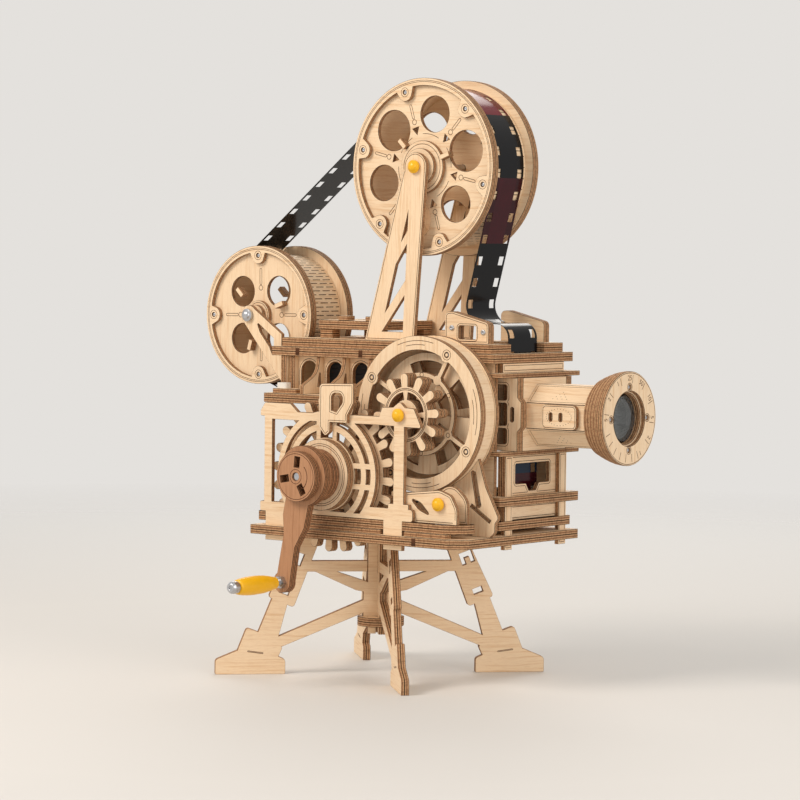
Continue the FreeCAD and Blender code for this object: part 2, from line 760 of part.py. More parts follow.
def crank_front_disc():
    """Make the disc on the arm's head, with three key slots."""
    radius = size("crank_disc_radius")
    slots = []
    for degrees in (84, 190, 300):
        a = polar(crank_x, crank_z, 4.6, degrees)
        b = polar(crank_x, crank_z, 10.0, degrees)
        slots.append(bar(*a, *b, 3.4))
    sheet_part("crank_front_disc", "XZ", [[circle(crank_x, crank_z, radius)]],
               [slots + [circle(crank_x, crank_z, shaft)]], thick="2 * Sizes.ply",
               where={"y": f"{FRAME_FACE} - 10 * Sizes.ply - Sizes.seat_gap"})


crank_front_disc()

grip_start = arm_face - 4.9
grip_end = grip_start - size("grip_length")
head_tip = grip_end - 5.2
GRIP_PLACE = {
    "x": "Sizes.crank_x - Sizes.crank_arm_length * sin(Sizes.crank_arm_lean * 1 deg)",
    "z": f"{CRANK['z']} - Sizes.crank_arm_length * cos(Sizes.crank_arm_lean * 1 deg)",
}
arm_back = arm_face + 2 * ply
turned_part("handle_axle", [
    (arm_back + 1.6, 0), (arm_back + 1.6, screw + 1.1), (arm_back, screw + 1.1), (arm_back, screw),
    (arm_face, screw), (arm_face, screw + 1.8), (arm_face - 2.4, screw + 1.8), (arm_face - 2.4, screw),
    (grip_end - 0.5, screw), (grip_end - 0.5, screw + 1.6, 0.2), (head_tip, screw + 1.1, 1.4),
    (head_tip, 0),
], "Y", GRIP_PLACE)


def handle_grip():
    """Make the barrel shaped grip that spins on its screw."""
    full, hole = size("grip_radius"), screw + gap
    neck, tail = full - 1.9, full - 1.1
    belly = grip_end + size("grip_length") * 0.42
    inner, outer = flat(neck, grip_start - 1.0), flat(tail, grip_end + 1.0)
    profile = [
        Part.LineSegment(flat(hole, grip_end), flat(tail - 0.9, grip_end)),
        Part.Arc(flat(tail - 0.9, grip_end), flat(tail - 0.2, grip_end + 0.25), outer),
        Part.Arc(outer, flat(full, belly), inner),
        Part.Arc(inner, flat(neck - 0.25, grip_start - 0.25), flat(neck - 0.9, grip_start)),
        Part.LineSegment(flat(neck - 0.9, grip_start), flat(hole, grip_start)),
        Part.LineSegment(flat(hole, grip_start), flat(hole, grip_end)),
    ]
    body = doc.addObject("PartDesign::Body", "handle_grip")
    turn = body.newObject("PartDesign::Revolution", "handle_grip_turned")
    sketch = new_sketch(body, "XY", [profile], "handle_grip_profile")
    turn.Profile = sketch
    turn.ReferenceAxis = (sketch, ["V_Axis"])
    turn.Angle = 360
    place(body, GRIP_PLACE)
    group("handle_grip", [body])


handle_grip()


# shutter shaft and what turns with it

far_bearing_y = far_wall_y + ply + 0.8
cap_radius = shaft + 1.3
shutter_rod = turned_part("shutter_rod", rod(frame_face - 2.6, far_bearing_y, shaft), "Y",
                          SHUTTER, keep=False)


def cap_profile(face):
    """Return a push-on cap whose open side lies at face and whose dome points to -Y."""
    return [(face, shaft), (face, cap_radius), (face - 3.0, cap_radius, 1.2), (face - 3.6, 0),
            (face - 2.2, 0), (face - 2.2, shaft)]


shutter_cap = turned_part("shutter_cap", cap_profile(frame_face - 0.4), "Y",
                          SHUTTER, keep=False)
group("shutter_shaft", [shutter_rod, shutter_cap])


def pinions():
    """Make the two twelve tooth wheels, a tooth pointing at the big gear's gap."""
    made = []
    first = mesh_angle + 180.0
    for label, face, thick in (("pinion_front", GEAR_FACE, "2 * Sizes.ply"),
                               ("pinion_rear", f"{GEAR_FACE} + 2 * Sizes.ply + Sizes.wheel_gap",
                                "Sizes.ply")):
        rim = petal_wheel(shutter_x, shutter_z, pinion_teeth, pinion_pitch, first)
        cuts = [circle(shutter_x, shutter_z, shaft)]
        for index in range(4):
            middle = 47 + 90 * index
            cuts.append(sector(shutter_x, shutter_z, 7.6, pinion_pitch - 7.6, middle - 37, middle + 37))
        made.append(sheet_part(label, "XZ", [[rim]], [cuts], thick=thick, where={"y": face}, keep=False))
    group("pinions", made)


pinions()


def shutter_wheel():
    """Make the open wheel with curved blades inside the drum."""
    radius = drum_radius - 8.5
    cuts = [circle(shutter_x, shutter_z, shaft)]
    for index in range(5):
        middle = 20 + 72 * index
        cuts.append(sector(shutter_x, shutter_z, 9.0, radius - 4.0, middle - 22, middle + 22))
    sheet_part("shutter_wheel", "XZ", [[circle(shutter_x, shutter_z, radius)]], [cuts],
               where={"y": f"{DRUM_FACE} + 3 * Sizes.ply"})


shutter_wheel()


def barrel_shutter():
    """Make the hollow drum with two light openings that spins behind the gate."""
    outer = size("barrel_shutter_radius")
    start, end = lens_y - mount_inside + 0.3, lens_y + mount_inside - 0.3
    wall = 1.2
    body = turned_part("barrel_shutter", [
        (start, shaft), (start + ply, shaft), (start + ply, outer - wall), (end, outer - wall),
        (end, outer), (start, outer),
    ], "Y", SHUTTER)
    pocket = body.newObject("PartDesign::Pocket", "barrel_shutter_light")
    pocket.Profile = new_sketch(body, "YZ", [box(lens_y - 12.0, -7.0, lens_y + 12.0, 7.0, 1.5)],
                                "barrel_shutter_window")
    pocket.Type = "ThroughAll"
    pocket.Midplane = True


barrel_shutter()


# shutter drum: front ring, spider, wall and back plate


def drum_centre_loops(radii):
    """Return circles round the shutter shaft."""
    return [circle(shutter_x, shutter_z, radius) for radius in radii]


RIVETS = (60, 150, 240, 330)


def drum():
    """Make the fixed drum round the shutter wheel."""
    inner = drum_radius - size("drum_ring_width")
    lobes = [[circle(*polar(shutter_x, shutter_z, inner + 2.4, degrees), 3.8)] for degrees in RIVETS]
    rivets = [circle(*polar(shutter_x, shutter_z, inner + 2.6, degrees), 1.0) for degrees in RIVETS]
    sheet_part("drum_front_ring", "XZ", [drum_centre_loops([drum_radius, inner])] + lobes, [rivets],
               where={"y": DRUM_FACE})
    spokes = []
    for degrees in RIVETS:
        a, b = polar(shutter_x, shutter_z, 19.8, degrees), polar(shutter_x, shutter_z, inner + 1.5, degrees)
        spokes.append([bar(*a, *b, 2.4)])
    knots = [[circle(*polar(shutter_x, shutter_z, 19.6, degrees), 2.6)] for degrees in RIVETS]
    sheet_part("drum_spider", "XZ",
               [drum_centre_loops([drum_radius - 0.4, inner + 1.2]),
                drum_centre_loops([20.8, 18.6])] + spokes + knots,
               where={"y": f"{DRUM_FACE} + Sizes.ply"})
    wall = [drum_centre_loops([drum_radius - 1.0, drum_radius - 3.2])]
    sheet_part("drum_wall", "XZ", wall, thick="Sizes.drum_depth - 3 * Sizes.ply",
               where={"y": f"{DRUM_FACE} + 2 * Sizes.ply"})
    windows = [circle(shutter_x, shutter_z, bore)]
    for index in range(6):
        middle = 30 + 60 * index
        windows.append(sector(shutter_x, shutter_z, 15.5, drum_radius - 10.0, middle - 20, middle + 20))
    body = sheet_part("drum_back_plate", "XZ", [drum_centre_loops([drum_radius])], [windows],
                      where={"y": f"{DRUM_FACE} + Sizes.drum_depth - Sizes.ply"})
    boss = body.newObject("PartDesign::Pad", "drum_back_boss")
    boss.Profile = new_sketch(body, "XZ", drum_centre_loops([13.0, bore]), "drum_back_boss_outline")
    boss.Reversed = True
    boss.setExpression("Length", "Sizes.drum_standoff - Sizes.drum_depth + Sizes.ply")


drum()


def drum_brace():
    """Make the curved brace with leaf slots from the drum down to the base."""
    x, z = idler_x, idler_z
    outline = [
        (x - 7.8, z + 12.3), (x + 6.8, z + 25.3, 1.0), (x + 9.2, z + 18.3, 6.0), (x + 12.8, z + 7.7, 14.0),
        (x + 20.8, base_top + 2.75, 2.0), (x + 18.6, base_top, 1.5), (x + 18.6, lower_top + 2.6, 2.0),
        (x + 15.6, lower_top, 0.6), (x + 4.8, lower_top, 1.0), (x - 5.4, z + 0.3, 10.0),
    ]
    leaf = [(x + 3.4, z + 16.3, 1.0), (x + 6.4, z + 15.3, 1.0), (x + 10.2, z - 1.7, 1.2),
            (x + 7.2, z - 2.7, 1.2)]
    low = bar(x + 3.8, z - 1.3, x + 15.8, z - 8.9, 1.8)
    drum_seat = circle(shutter_x, shutter_z, drum_radius - 1.0 + slack)
    sheet_part("drum_brace", "XZ", [[polygon(outline)]],
               [[polygon(leaf), low, circle(x, z, bore)], [drum_seat]],
               where={"y": f"{DRUM_FACE} + 8"})


drum_brace()


# body box: deck, walls, gallery, cornices


def deck():
    """Make the deck under the gallery, slid into the walls from behind."""
    near, far = near_wall_y - size("deck_apron"), lens_y + wall_half
    rear, end = wall_rear + 2.0, size("deck_end")
    outline = [(rear, near, 2.0), (end, near, 2.0), (end, far, 1.0), (rear, far, 1.0)]
    sheet_part("body_deck", "XY", [[polygon(outline)]], thick="2 * Sizes.ply",
               where={"z": f"{DECK_TOP_Z} - 2 * Sizes.ply"})


deck()

window_pitch = size("window_pitch")
first_window = wall_rear + 18.5
windows = [first_window + window_pitch * index for index in range(7)]


def side_wall(label, y_formula, gallery, low_windows, holes):
    """Make one long side wall with its gallery windows and lower cut-outs."""
    end = size("deck_end") + slack
    outline = [
        (wall_rear, deck_top + slack), (end, deck_top + slack), (end, deck_bottom - slack),
        (wall_step, deck_bottom - slack), (wall_step, base_top), (wall_front, base_top),
        (wall_front, cornice_z), (wall_rear, cornice_z),
    ]
    pads = [[polygon(outline)]]
    for x0, x1 in WALL_TENONS:
        pads.append([box(x0, base_bottom, x1, base_top + 1)])
    cuts = [arch(x, deck_top + 1.8, 5.4, cornice_z - 2.4) for x in gallery]
    sheet_part(label, "XZ", pads, [cuts + low_windows + holes], where={"y": y_formula})


def shaft_holes():
    """Return the bearings for the shutter and roller shafts."""
    return [circle(shutter_x, shutter_z, bore), circle(idler_x, idler_z, bore)]


low_sill, low_head = base_top + 6.0, deck_bottom - 8.0
near_low = [
    box(wall_step + 6.0, low_sill, wall_step + 22.0, low_head, 3.0),
    box(crank_x + 12.5, low_sill, crank_x + 32.5, crank_z + 7.1, 3.0),
]
far_low = [
    box(wall_step + 6.0, low_sill, wall_step + 26.0, low_head, 4.0),
    box(crank_x - 1.5, low_sill, crank_x + 22.5, low_head, 4.0),
    box(crank_x + 30.5, low_sill, crank_x + 58.5, crank_z + 17.1, 4.0),
]
far_gallery = windows[:5] + windows[6:]
side_wall("near_wall", NEAR_WALL_Y, windows[:3], near_low, shaft_holes() + [circle(crank_x, crank_z, bore)])
side_wall("far_wall", FAR_WALL_Y, far_gallery, far_low, shaft_holes())

sheet_part("rear_wall", "YZ",
           [[box(near_wall_y + ply, deck_top, far_wall_y, cornice_z)]],
           [[box(lens_y - 10, deck_top + 4, lens_y + 10, cornice_z - 4, 2.0)]],
           where={"x": "Sizes.wall_rear + 6"})


def gallery_supports():
    """Make the scroll shaped consoles and the corner pillars that stand on the deck."""
    depth_low, depth_top = size("deck_apron") - 1.5, 3.2
    height = size("gallery_height")
    made = []
    for index in range(3):
        root = near_wall_y
        outline = [
            (root, deck_top), (root, cornice_z), (root - depth_top, cornice_z),
            (root - 5.0, deck_top + height * 0.55, 9.0),
            (root - depth_low, deck_top + 4.4, 1.0), (root - depth_low, deck_top),
        ]
        leaf = [(root - 3.0, cornice_z - 6.0, 0.4), (root - 5.4, deck_top + 3.6, 0.5),
                (root - 2.4, deck_top + 3.6, 0.5)]
        spot = f"Sizes.wall_rear + 18.5 + {index + 0.5} * Sizes.window_pitch - Sizes.ply / 2"
        made.append(sheet_part(f"gallery_console_{index}", "YZ", [[polygon(outline)]], [[polygon(leaf)]],
                               where={"x": spot}, keep=False))
    for index in range(2):
        made.append(sheet_part(f"gallery_pillar_{index}", "YZ",
                               [[box(near_wall_y - 4.0 + index, deck_top, near_wall_y, cornice_z, 0.4)]],
                               thick="2 * Sizes.ply - 1",
                               where={"x": f"Sizes.wall_rear + {2.4 + 5 * index}"}, keep=False))
    group("gallery_supports", made)


gallery_supports()


def cornices():
    """Make the two double plates of the cornice, open behind for the rear reel and over the film."""
    clearance = size("reel_clearance")
    reel_gap = film_half + size("rear_reel_room") + 2 * ply + clearance
    notch_front = size("rear_reel_front") + clearance
    slot_half = film_half + clearance
    film_slot = box(gate_x - 29.0, lens_y - slot_half, gate_x + 4.0, lens_y + slot_half)
    for label, front, rear, half, level in (
            ("cornice_plate", roof_front, roof_rear, roof_half, CORNICE_Z),
            ("roof_plate", roof_front - 4.5, roof_rear + 5.0, roof_half - 2.6, ROOF_Z)):
        outline = [
            (rear, lens_y - half, 1.0), (front, lens_y - half, 1.0), (front, lens_y + half, 1.0),
            (rear, lens_y + half, 1.0), (rear, lens_y + reel_gap), (notch_front, lens_y + reel_gap, 2.0),
            (notch_front, lens_y - reel_gap, 2.0), (rear, lens_y - reel_gap),
        ]
        sheet_part(label, "XY", [[polygon(outline)]], [[film_slot]], thick="2 * Sizes.ply",
                   where={"z": level})


cornices()


# front of the body: panels between shelves, posts, lens mount

SHELF_HIGH_Z = f"{SHUTTER['z']} + Sizes.mount_above"
SHELF_MID_Z = f"{SHUTTER['z']} - Sizes.mount_below"
SHELF_LOW_Z = f"{BASE_TOP_Z} + Sizes.plinth_height"
shelf_high = shutter_z + size("mount_above")
shelf_mid = shutter_z - size("mount_below")
shelf_low = base_top + size("plinth_height")


def shelf(label, level, thick, wings, keep_open):
    """Make one shelf on the front of the body; with wings it wraps round both corners."""
    half = roof_half
    outline = [(shelf_front, lens_y - half, 1.0), (shelf_front, lens_y + half, 1.0)]
    if wings:
        tail = wall_front - 18.65
        outline += [(tail, lens_y + half, 1.0), (tail, lens_y + wall_half),
                    (wall_front, lens_y + wall_half), (wall_front, lens_y - wall_half),
                    (tail, lens_y - wall_half), (tail, lens_y - half, 1.0)]
    else:
        outline += [(wall_front, lens_y + half), (wall_front, lens_y - half)]
    cuts = [post_slots()] if keep_open else []
    return sheet_part(label, "XY", [[polygon(outline)]], cuts, thick=thick, where={"z": level}, keep=False)


group("front_shelves", [
    shelf("front_shelf_high", SHELF_HIGH_Z, "Sizes.ply", True, False),
    shelf("front_shelf_mid", SHELF_MID_Z, "Sizes.ply", True, False),
    shelf("front_shelf_low", SHELF_LOW_Z, "2 * Sizes.ply", False, True),
])


def front_panels():
    """Make the three panels that close the front between the shelves, and the two posts before them."""
    y0, y1 = lens_y - panel_half, lens_y + panel_half
    low_top = shelf_low + 2 * ply
    sill, head = low_top + 5.6, shelf_mid - 4.4
    window = [
        (lens_y - 14.5, sill, 1.0), (lens_y - 5.5, sill, 1.2), (lens_y - 3.0, low_top + 1.8, 1.2),
        (lens_y + 3.0, low_top + 1.8, 1.2), (lens_y + 5.5, sill, 1.2), (lens_y + 14.5, sill, 1.0),
        (lens_y + 14.5, head, 1.0), (lens_y - 14.5, head, 1.0),
    ]
    panels = [
        sheet_part("front_panel_top", "YZ", [[box(y0, shelf_high + ply, y1, cornice_z)]],
                   where={"x": "Sizes.wall_front"}, keep=False),
        sheet_part("front_panel_window", "YZ", [[box(y0, low_top, y1, shelf_mid)]], [[polygon(window)]],
                   where={"x": "Sizes.wall_front"}, keep=False),
        sheet_part("front_panel_plinth", "YZ", [[box(y0, base_top, y1, shelf_low)]],
                   where={"x": "Sizes.wall_front"}, keep=False),
    ]
    for index, (a, b) in enumerate(post_spans()):
        panels.append(sheet_part(f"front_post_{index}", "YZ", [[box(a, base_bottom - 2.6, b, shelf_mid)]],
                                 where={"x": "Sizes.wall_front + Sizes.ply"}, keep=False))
    group("front_panels", panels)


front_panels()


tube = size("barrel_apothem") - ply - size("tube_slack")
tube_bore = tube - 1.6
tube_flange = tube + 2.5
lens_bore = tube + 0.4


def lens_mount():
    """Make the box that holds the lens barrel: two cheeks and a bored plate."""
    low, high = shelf_mid + ply, shelf_high
    middle = (low + high) / 2
    rear, front = mount_front - 26.0, mount_front
    outline = [
        (rear, low), (front, low), (front, middle - 8.5, 0.8), (front + 2.2, middle - 6.2, 0.8),
        (front + 2.2, middle + 6.2, 0.8), (front, middle + 8.5, 0.8), (front, high), (rear, high),
    ]
    windows = [
        box(front - 16.0, low + 3.5, front - 6.4, middle - 7.0, 1.2),
        box(front - 13.4, middle - 5.6, front - 6.4, middle + 5.6, 1.2),
        box(front - 16.0, middle + 7.0, front - 6.4, high - 3.5, 1.2),
        slot(front - 3.2, middle - 2.6, front - 3.2, middle + 2.6, 2.2),
    ]
    cheeks = []
    for index, start in enumerate(("Sizes.lens_y - Sizes.mount_half",
                                   "Sizes.lens_y + Sizes.mount_half - 2 * Sizes.ply")):
        cheeks.append(sheet_part(f"lens_mount_cheek_{index}", "XZ", [[polygon(outline)]], [windows],
                                 thick="2 * Sizes.ply", where={"y": start}, keep=False))
    face = box(lens_y - mount_inside, low, lens_y + mount_inside, high)
    plate = sheet_part("lens_mount_plate", "YZ", [[face]], [[circle(lens_y, shutter_z, tube + gap)]],
                       thick="2 * Sizes.ply", where={"x": "Sizes.mount_front - 2 * Sizes.ply"}, keep=False)
    group("lens_mount", cheeks + [plate])


lens_mount()


def octagon(apothem):
    """Return a regular octagon round the lens axis, flat on top."""
    reach = apothem / math.cos(math.pi / 8)
    return polygon([polar(lens_y, shutter_z, reach, 22.5 + 45 * index) for index in range(8)])


def lens_barrel():
    """Make the eight sided barrel and the rounded plate on each side of it."""
    apothem = size("barrel_apothem")
    barrel = sheet_part("lens_barrel_tube", "YZ", [[octagon(apothem), octagon(apothem - ply)]],
                        thick="Sizes.barrel_front - Sizes.mount_front",
                        where={"x": "Sizes.mount_front"}, keep=False)
    plates = []
    for index, start in enumerate(("Sizes.lens_y - Sizes.barrel_apothem - Sizes.ply",
                                   "Sizes.lens_y + Sizes.barrel_apothem")):
        outline = box(mount_front + 11.0, shutter_z - 6.1, size("barrel_front") - 5.0, shutter_z + 6.1, 2.6)
        places = (mount_front + 16.5, mount_front + 22.5)
        holes = [slot(x, shutter_z - 1.1, x, shutter_z + 1.1, 2.2) for x in places]
        plates.append(sheet_part(f"lens_barrel_plate_{index}", "XZ", [[outline]], [holes],
                                 where={"y": start}, keep=False))
    group("lens_barrel", [barrel] + plates)


lens_barrel()


# lens that slides in the barrel to focus

ring_start = size("barrel_front") + seat
ring_end = ring_start + int(size("lens_ring_layers")) * ply
LENS_PLACE = {"y": "Sizes.lens_y", "z": SHUTTER["z"]}


def lens_ring():
    """Make the stacked ring, each ply a little wider than the one behind it."""
    outer, recess = size("lens_ring_radius"), tube_flange + 0.1
    layers = int(size("lens_ring_layers"))
    profile = [(ring_start, recess), (ring_start + 2 * ply, recess), (ring_start + 2 * ply, lens_bore),
               (ring_end, lens_bore)]
    for layer in range(layers - 1, -1, -1):
        narrower = size("lens_ring_taper") * ((layers - 1 - layer) / (layers - 1)) ** 1.5
        profile += [(ring_start + (layer + 1) * ply, outer - narrower),
                    (ring_start + layer * ply, outer - narrower)]
    turned_part("lens_ring", profile, "X", LENS_PLACE)


lens_ring()
tube_rear = mount_front - 9.0
turned_part("lens_tube", [
    (tube_rear, tube_bore), (ring_start + ply, tube_bore), (ring_start + ply, tube_flange),
    (ring_start + 0.05, tube_flange), (ring_start + 0.05, tube), (tube_rear, tube),
], "X", LENS_PLACE)


def lens_glass():
    """Make the two glass elements, one in the ring and one at the back of the tube."""
    radius = lens_bore - gap
    front = ring_start + 3 * ply
    made = [turned_part("lens_glass_front", [
        (front, 0), (front, radius), (front + 1.2, radius), (front + 3.6, radius * 0.55, 30.0),
        (front + 4.4, 0),
    ], "X", LENS_PLACE, keep=False)]
    back = tube_rear + 1.0
    small = tube_bore - gap
    made.append(turned_part("lens_glass_rear", [
        (back, 0), (back, small), (back + 1.0, small), (back + 2.6, small * 0.55, 24.0), (back + 3.2, 0),
    ], "X", LENS_PLACE, keep=False))
    group("lens_glass", made)


lens_glass()


# light, power and switch


def light():
    """Make the lamp with its holder, the battery box on the deck and its lid on the roof."""
    holder = [box(near_wall_y + ply, deck_bottom - 18, far_wall_y, cornice_z)]
    wire_hole = box(lens_y - 20, cornice_z - 14, lens_y - 10, cornice_z - 6, 1.5)
    radius = size("lamp_radius")
    sheet_part("lamp_holder", "YZ", [holder], [[circle(lens_y, shutter_z, radius + gap), wire_hole]],
               where={"x": "Sizes.lamp_x"})
    face = size("lamp_x") + ply + 2.0
    turned_part("lamp", [
        (face - ply - 5.0, 0), (face - ply - 5.0, radius), (face, radius), (face, radius + 1.2),
        (face + 1.5, radius + 1.2), (face + 5.0, radius - 0.6, 2.4), (face + 6.5, 0),
    ], "X", LENS_PLACE)
    rear = wall_rear + 16.0
    sheet_part("battery_box", "XY", [[box(rear, lens_y - 14, rear + 34.0, lens_y + 14, 2.0)]],
               thick="Sizes.gallery_height - 4", where={"z": DECK_TOP_Z})
    rear = roof_rear + 22.0
    vents = [box(rear + start, lens_y - 4, rear + start + 6.0, lens_y + 4) for start in (10.0, 26.0)]
    cover = box(rear, lens_y - 22, rear + 42.0, lens_y + 22, 1.5)
    lid = sheet_part("battery_lid_plate", "XY", [[cover]], [vents], thick="2 * Sizes.ply",
                     where={"z": f"{ROOF_TOP_Z} + 2 * Sizes.ply"}, keep=False)
    feet = []
    for index, (x, y) in enumerate(((5, -18), (37, -18), (5, 18), (37, 18))):
        foot = box(rear + x - 4, lens_y + y - 3, rear + x + 4, lens_y + y + 3)
        feet.append(sheet_part(f"battery_lid_foot_{index}", "XY", [[foot]], thick="2 * Sizes.ply",
                               where={"z": ROOF_TOP_Z}, keep=False))
    catches = []
    for index, x in enumerate((16, 34)):
        catch = box(rear + x - 3, lens_y - 21, rear + x + 3, lens_y - 15)
        catches.append(sheet_part(f"battery_lid_catch_{index}", "XY", [[catch]],
                                  where={"z": f"{ROOF_TOP_Z} + 4 * Sizes.ply"}, keep=False))
    group("battery_lid", [lid] + feet + catches)


light()


def switch():
    """Make the slide switch on the deck beside the gallery."""
    x0, x1 = wall_rear + 6.0, wall_rear + 22.0
    middle = near_wall_y - size("deck_apron") + 7.0
    sheet_part("switch_body", "XY", [[box(x0, middle - 4.0, x1, middle + 4.0, 1.0)]],
               where={"z": DECK_TOP_Z})
    sheet_part("switch_knob", "XY", [[box(x0 + 1.5, middle - 2.4, x1 - 8.0, middle + 2.4, 1.4)]],
               thick="3.0", where={"z": f"{DECK_TOP_Z} + Sizes.ply"})


switch()


# reels with their flanges, kerf bent drums, axles and caps


def reel(name, spot, holes, hole_radius, hole_inset, first):
    """Make one reel: two flanges, the drum, the axle and its two end caps."""
    radius = size(f"{name}_radius")
    drum_outer = radius - size("rim_step")
    cuts = [circle(0, 0, shaft)]
    for index in range(holes):
        cuts.append(circle(*polar(0, 0, drum_outer - hole_inset, first + index * 360.0 / holes),
                           hole_radius))
    near_side = f"Sizes.lens_y - Sizes.film_width / 2 - Sizes.{name}_room"
    far_side = f"Sizes.lens_y + Sizes.film_width / 2 + Sizes.{name}_room"
    flanges = []
    for side, start in (("front", f"{near_side} - 2 * Sizes.ply"), ("back", far_side)):
        flanges.append(sheet_part(f"{name}_{side}_flange", "XZ", [[circle(0, 0, radius)]], [cuts],
                                  thick="2 * Sizes.ply", where=dict(spot, y=start), keep=False))
    group(f"{name}_flanges", flanges)
    sheet_part(f"{name}_drum", "XZ", [[circle(0, 0, drum_outer), circle(0, 0, drum_outer - 1.8)]],
               thick=f"Sizes.film_width + 2 * Sizes.{name}_room", where=dict(spot, y=near_side))
    outside = stand_spread + seat
    rod_end = outside + 1.3
    pieces = [turned_part(f"{name}_rod", rod(lens_y - rod_end, lens_y + rod_end, shaft), "Y", spot,
                          keep=False)]
    for index, way in enumerate((-1, 1)):
        face, tip = lens_y + way * outside, lens_y + way * rod_end
        profile = [(face, shaft), (face, cap_radius), (face + way * 3.0, cap_radius, 1.2),
                   (face + way * 3.5, 0), (tip, 0), (tip, shaft)]
        pieces.append(turned_part(f"{name}_cap_{index}", profile, "Y", spot, keep=False))
    group(f"{name}_axle", pieces)


reel("top_reel", TOP_REEL, 6, 9.2, 12.9, 17)
reel("rear_reel", REAR_REEL, 4, 8.0, 14.2, 46)


STAND_STARTS = (f"{NEAR_WALL_Y} + Sizes.stand_inset",
                "Sizes.lens_y + Sizes.wall_half - Sizes.stand_inset - Sizes.ply")


def top_stand():
    """Make the two A frames that hold the top reel."""
    x, z = top_reel_x, top_reel_z
    foot = roof_top
    rear, front, head = x - 31.3, x + 0.4, 7.2
    left = [(x - head, z - 1.0), (x - 1.6, z - 6.0), (x - 3.4, z - 20.0), (rear + 9.0, foot), (rear, foot)]
    right = [(x - 3.0, z - 4.0), (x + head, z), (front, foot), (front - 7.4, foot)]
    made = []
    for index, start in enumerate(STAND_STARTS):
        pads = [[circle(x, z, head)], [polygon(left)], [polygon(right)],
                [box(rear + 1, foot, front - 1, foot + 4.6)],
                [bar(rear + 8.0, foot + 4.0, front - 3.0, foot + 31.0, 4.4)],
                [bar(rear + 17.0, foot + 38.0, front - 2.0, foot + 57.0, 3.6)]]
        made.append(sheet_part(f"top_stand_{index}", "XZ", pads, [[circle(x, z, bore)]],
                               where={"y": start}, keep=False))
    group("top_reel_stand", made)


top_stand()


def rear_arms():
    """Make the two forked arms that hold the rear reel."""
    x, z = rear_reel_x, rear_reel_z
    tail = wall_rear + 6.0
    made = []
    for index, start in enumerate(STAND_STARTS):
        outline = [(x + 3.0, z + 4.0), (roof_rear, z - 9.4), (roof_rear, cornice_z), (tail, cornice_z),
                   (tail, deck_top), (tail - 5.4, deck_top, 0.6), (tail - 14.3, deck_top + 9.5, 1.0),
                   (x - 4.2, z - 3.0)]
        window = [(x + 5.6, z - 3.4, 0.5), (roof_rear - 5.6, z - 11.8, 0.5),
                  (roof_rear - 5.6, cornice_z - 2.0, 0.5), (x + 14.6, z - 16.4, 0.5),
                  (x + 7.8, z - 8.6, 0.5)]
        pads = [[circle(x, z, 5.2)], [polygon(outline)]]
        made.append(sheet_part(f"rear_arm_{index}", "XZ", pads, [[circle(x, z, bore), polygon(window)]],
                               where={"y": start}, keep=False))
    group("rear_reel_arms", made)


rear_arms()


# film guide on the roof, gate, roller and the film itself


def film_guide():
    """Make the two cheeks of the roof guide."""
    low = roof_top
    rear, front = gate_x - 30.2, gate_x - 2.8
    outline = [(rear, low), (front, low), (front, low + 10.4, 2.6), (rear + 4.6, low + 15.8, 2.6),
               (rear, low + 15.4, 2.6)]
    window = box(rear + 8.6, low + 2.0, front - 7.8, low + 8.8, 1.0)
    made = []
    for index, start in enumerate((f"{NEAR_WALL_Y} + Sizes.guide_inset + Sizes.ply",
                                   "Sizes.lens_y + Sizes.wall_half - Sizes.guide_inset - 2 * Sizes.ply")):
        made.append(sheet_part(f"film_guide_cheek_{index}", "XZ", [[polygon(outline)]], [[window]],
                               thick="2 * Sizes.ply", where={"y": start}, keep=False))
    group("film_guide_cheeks", made)


film_guide()


def film_gate():
    """Make the two gate plates with their picture opening."""
    made = []
    low, high = shelf_mid + ply + 3, shelf_high - 3
    for index, start in enumerate(("Sizes.gate_x - 1.0 - Sizes.ply", "Sizes.gate_x + 2.2")):
        plate = box(lens_y - mount_inside, low, lens_y + mount_inside, high)
        picture = box(lens_y - 9, shutter_z - 7, lens_y + 9, shutter_z + 7, 1.0)
        made.append(sheet_part(f"film_gate_plate_{index}", "YZ", [[plate]], [[picture]],
                               where={"x": start}, keep=False))
    group("film_gate", made)


film_gate()

roller = size("roller_radius")


def film_roller():
    """Make the roller that turns the film round, with its shaft, belt wheel and cap."""
    flange, run = roller + 1.2, film_half + 0.5
    outer = run + 2.0
    wheel = [
        (lens_y - outer, shaft), (lens_y + outer, shaft), (lens_y + outer, flange),
        (lens_y + run, flange), (lens_y + run, roller), (lens_y - run, roller),
        (lens_y - run, flange), (lens_y - outer, flange),
    ]
    group("film_roller", [
        turned_part("film_roller_shaft", rod(frame_face + ply - 2.0, far_bearing_y, shaft), "Y", IDLER,
                    keep=False),
        turned_part("film_roller_wheel", wheel, "Y", IDLER, keep=False),
        turned_part("film_roller_pulley", pulley_profile(size("idler_pulley_radius")), "Y", IDLER,
                    keep=False),
        turned_part("film_roller_cap", cap_profile(frame_face + ply - seat), "Y", IDLER, keep=False),
    ])


film_roller()


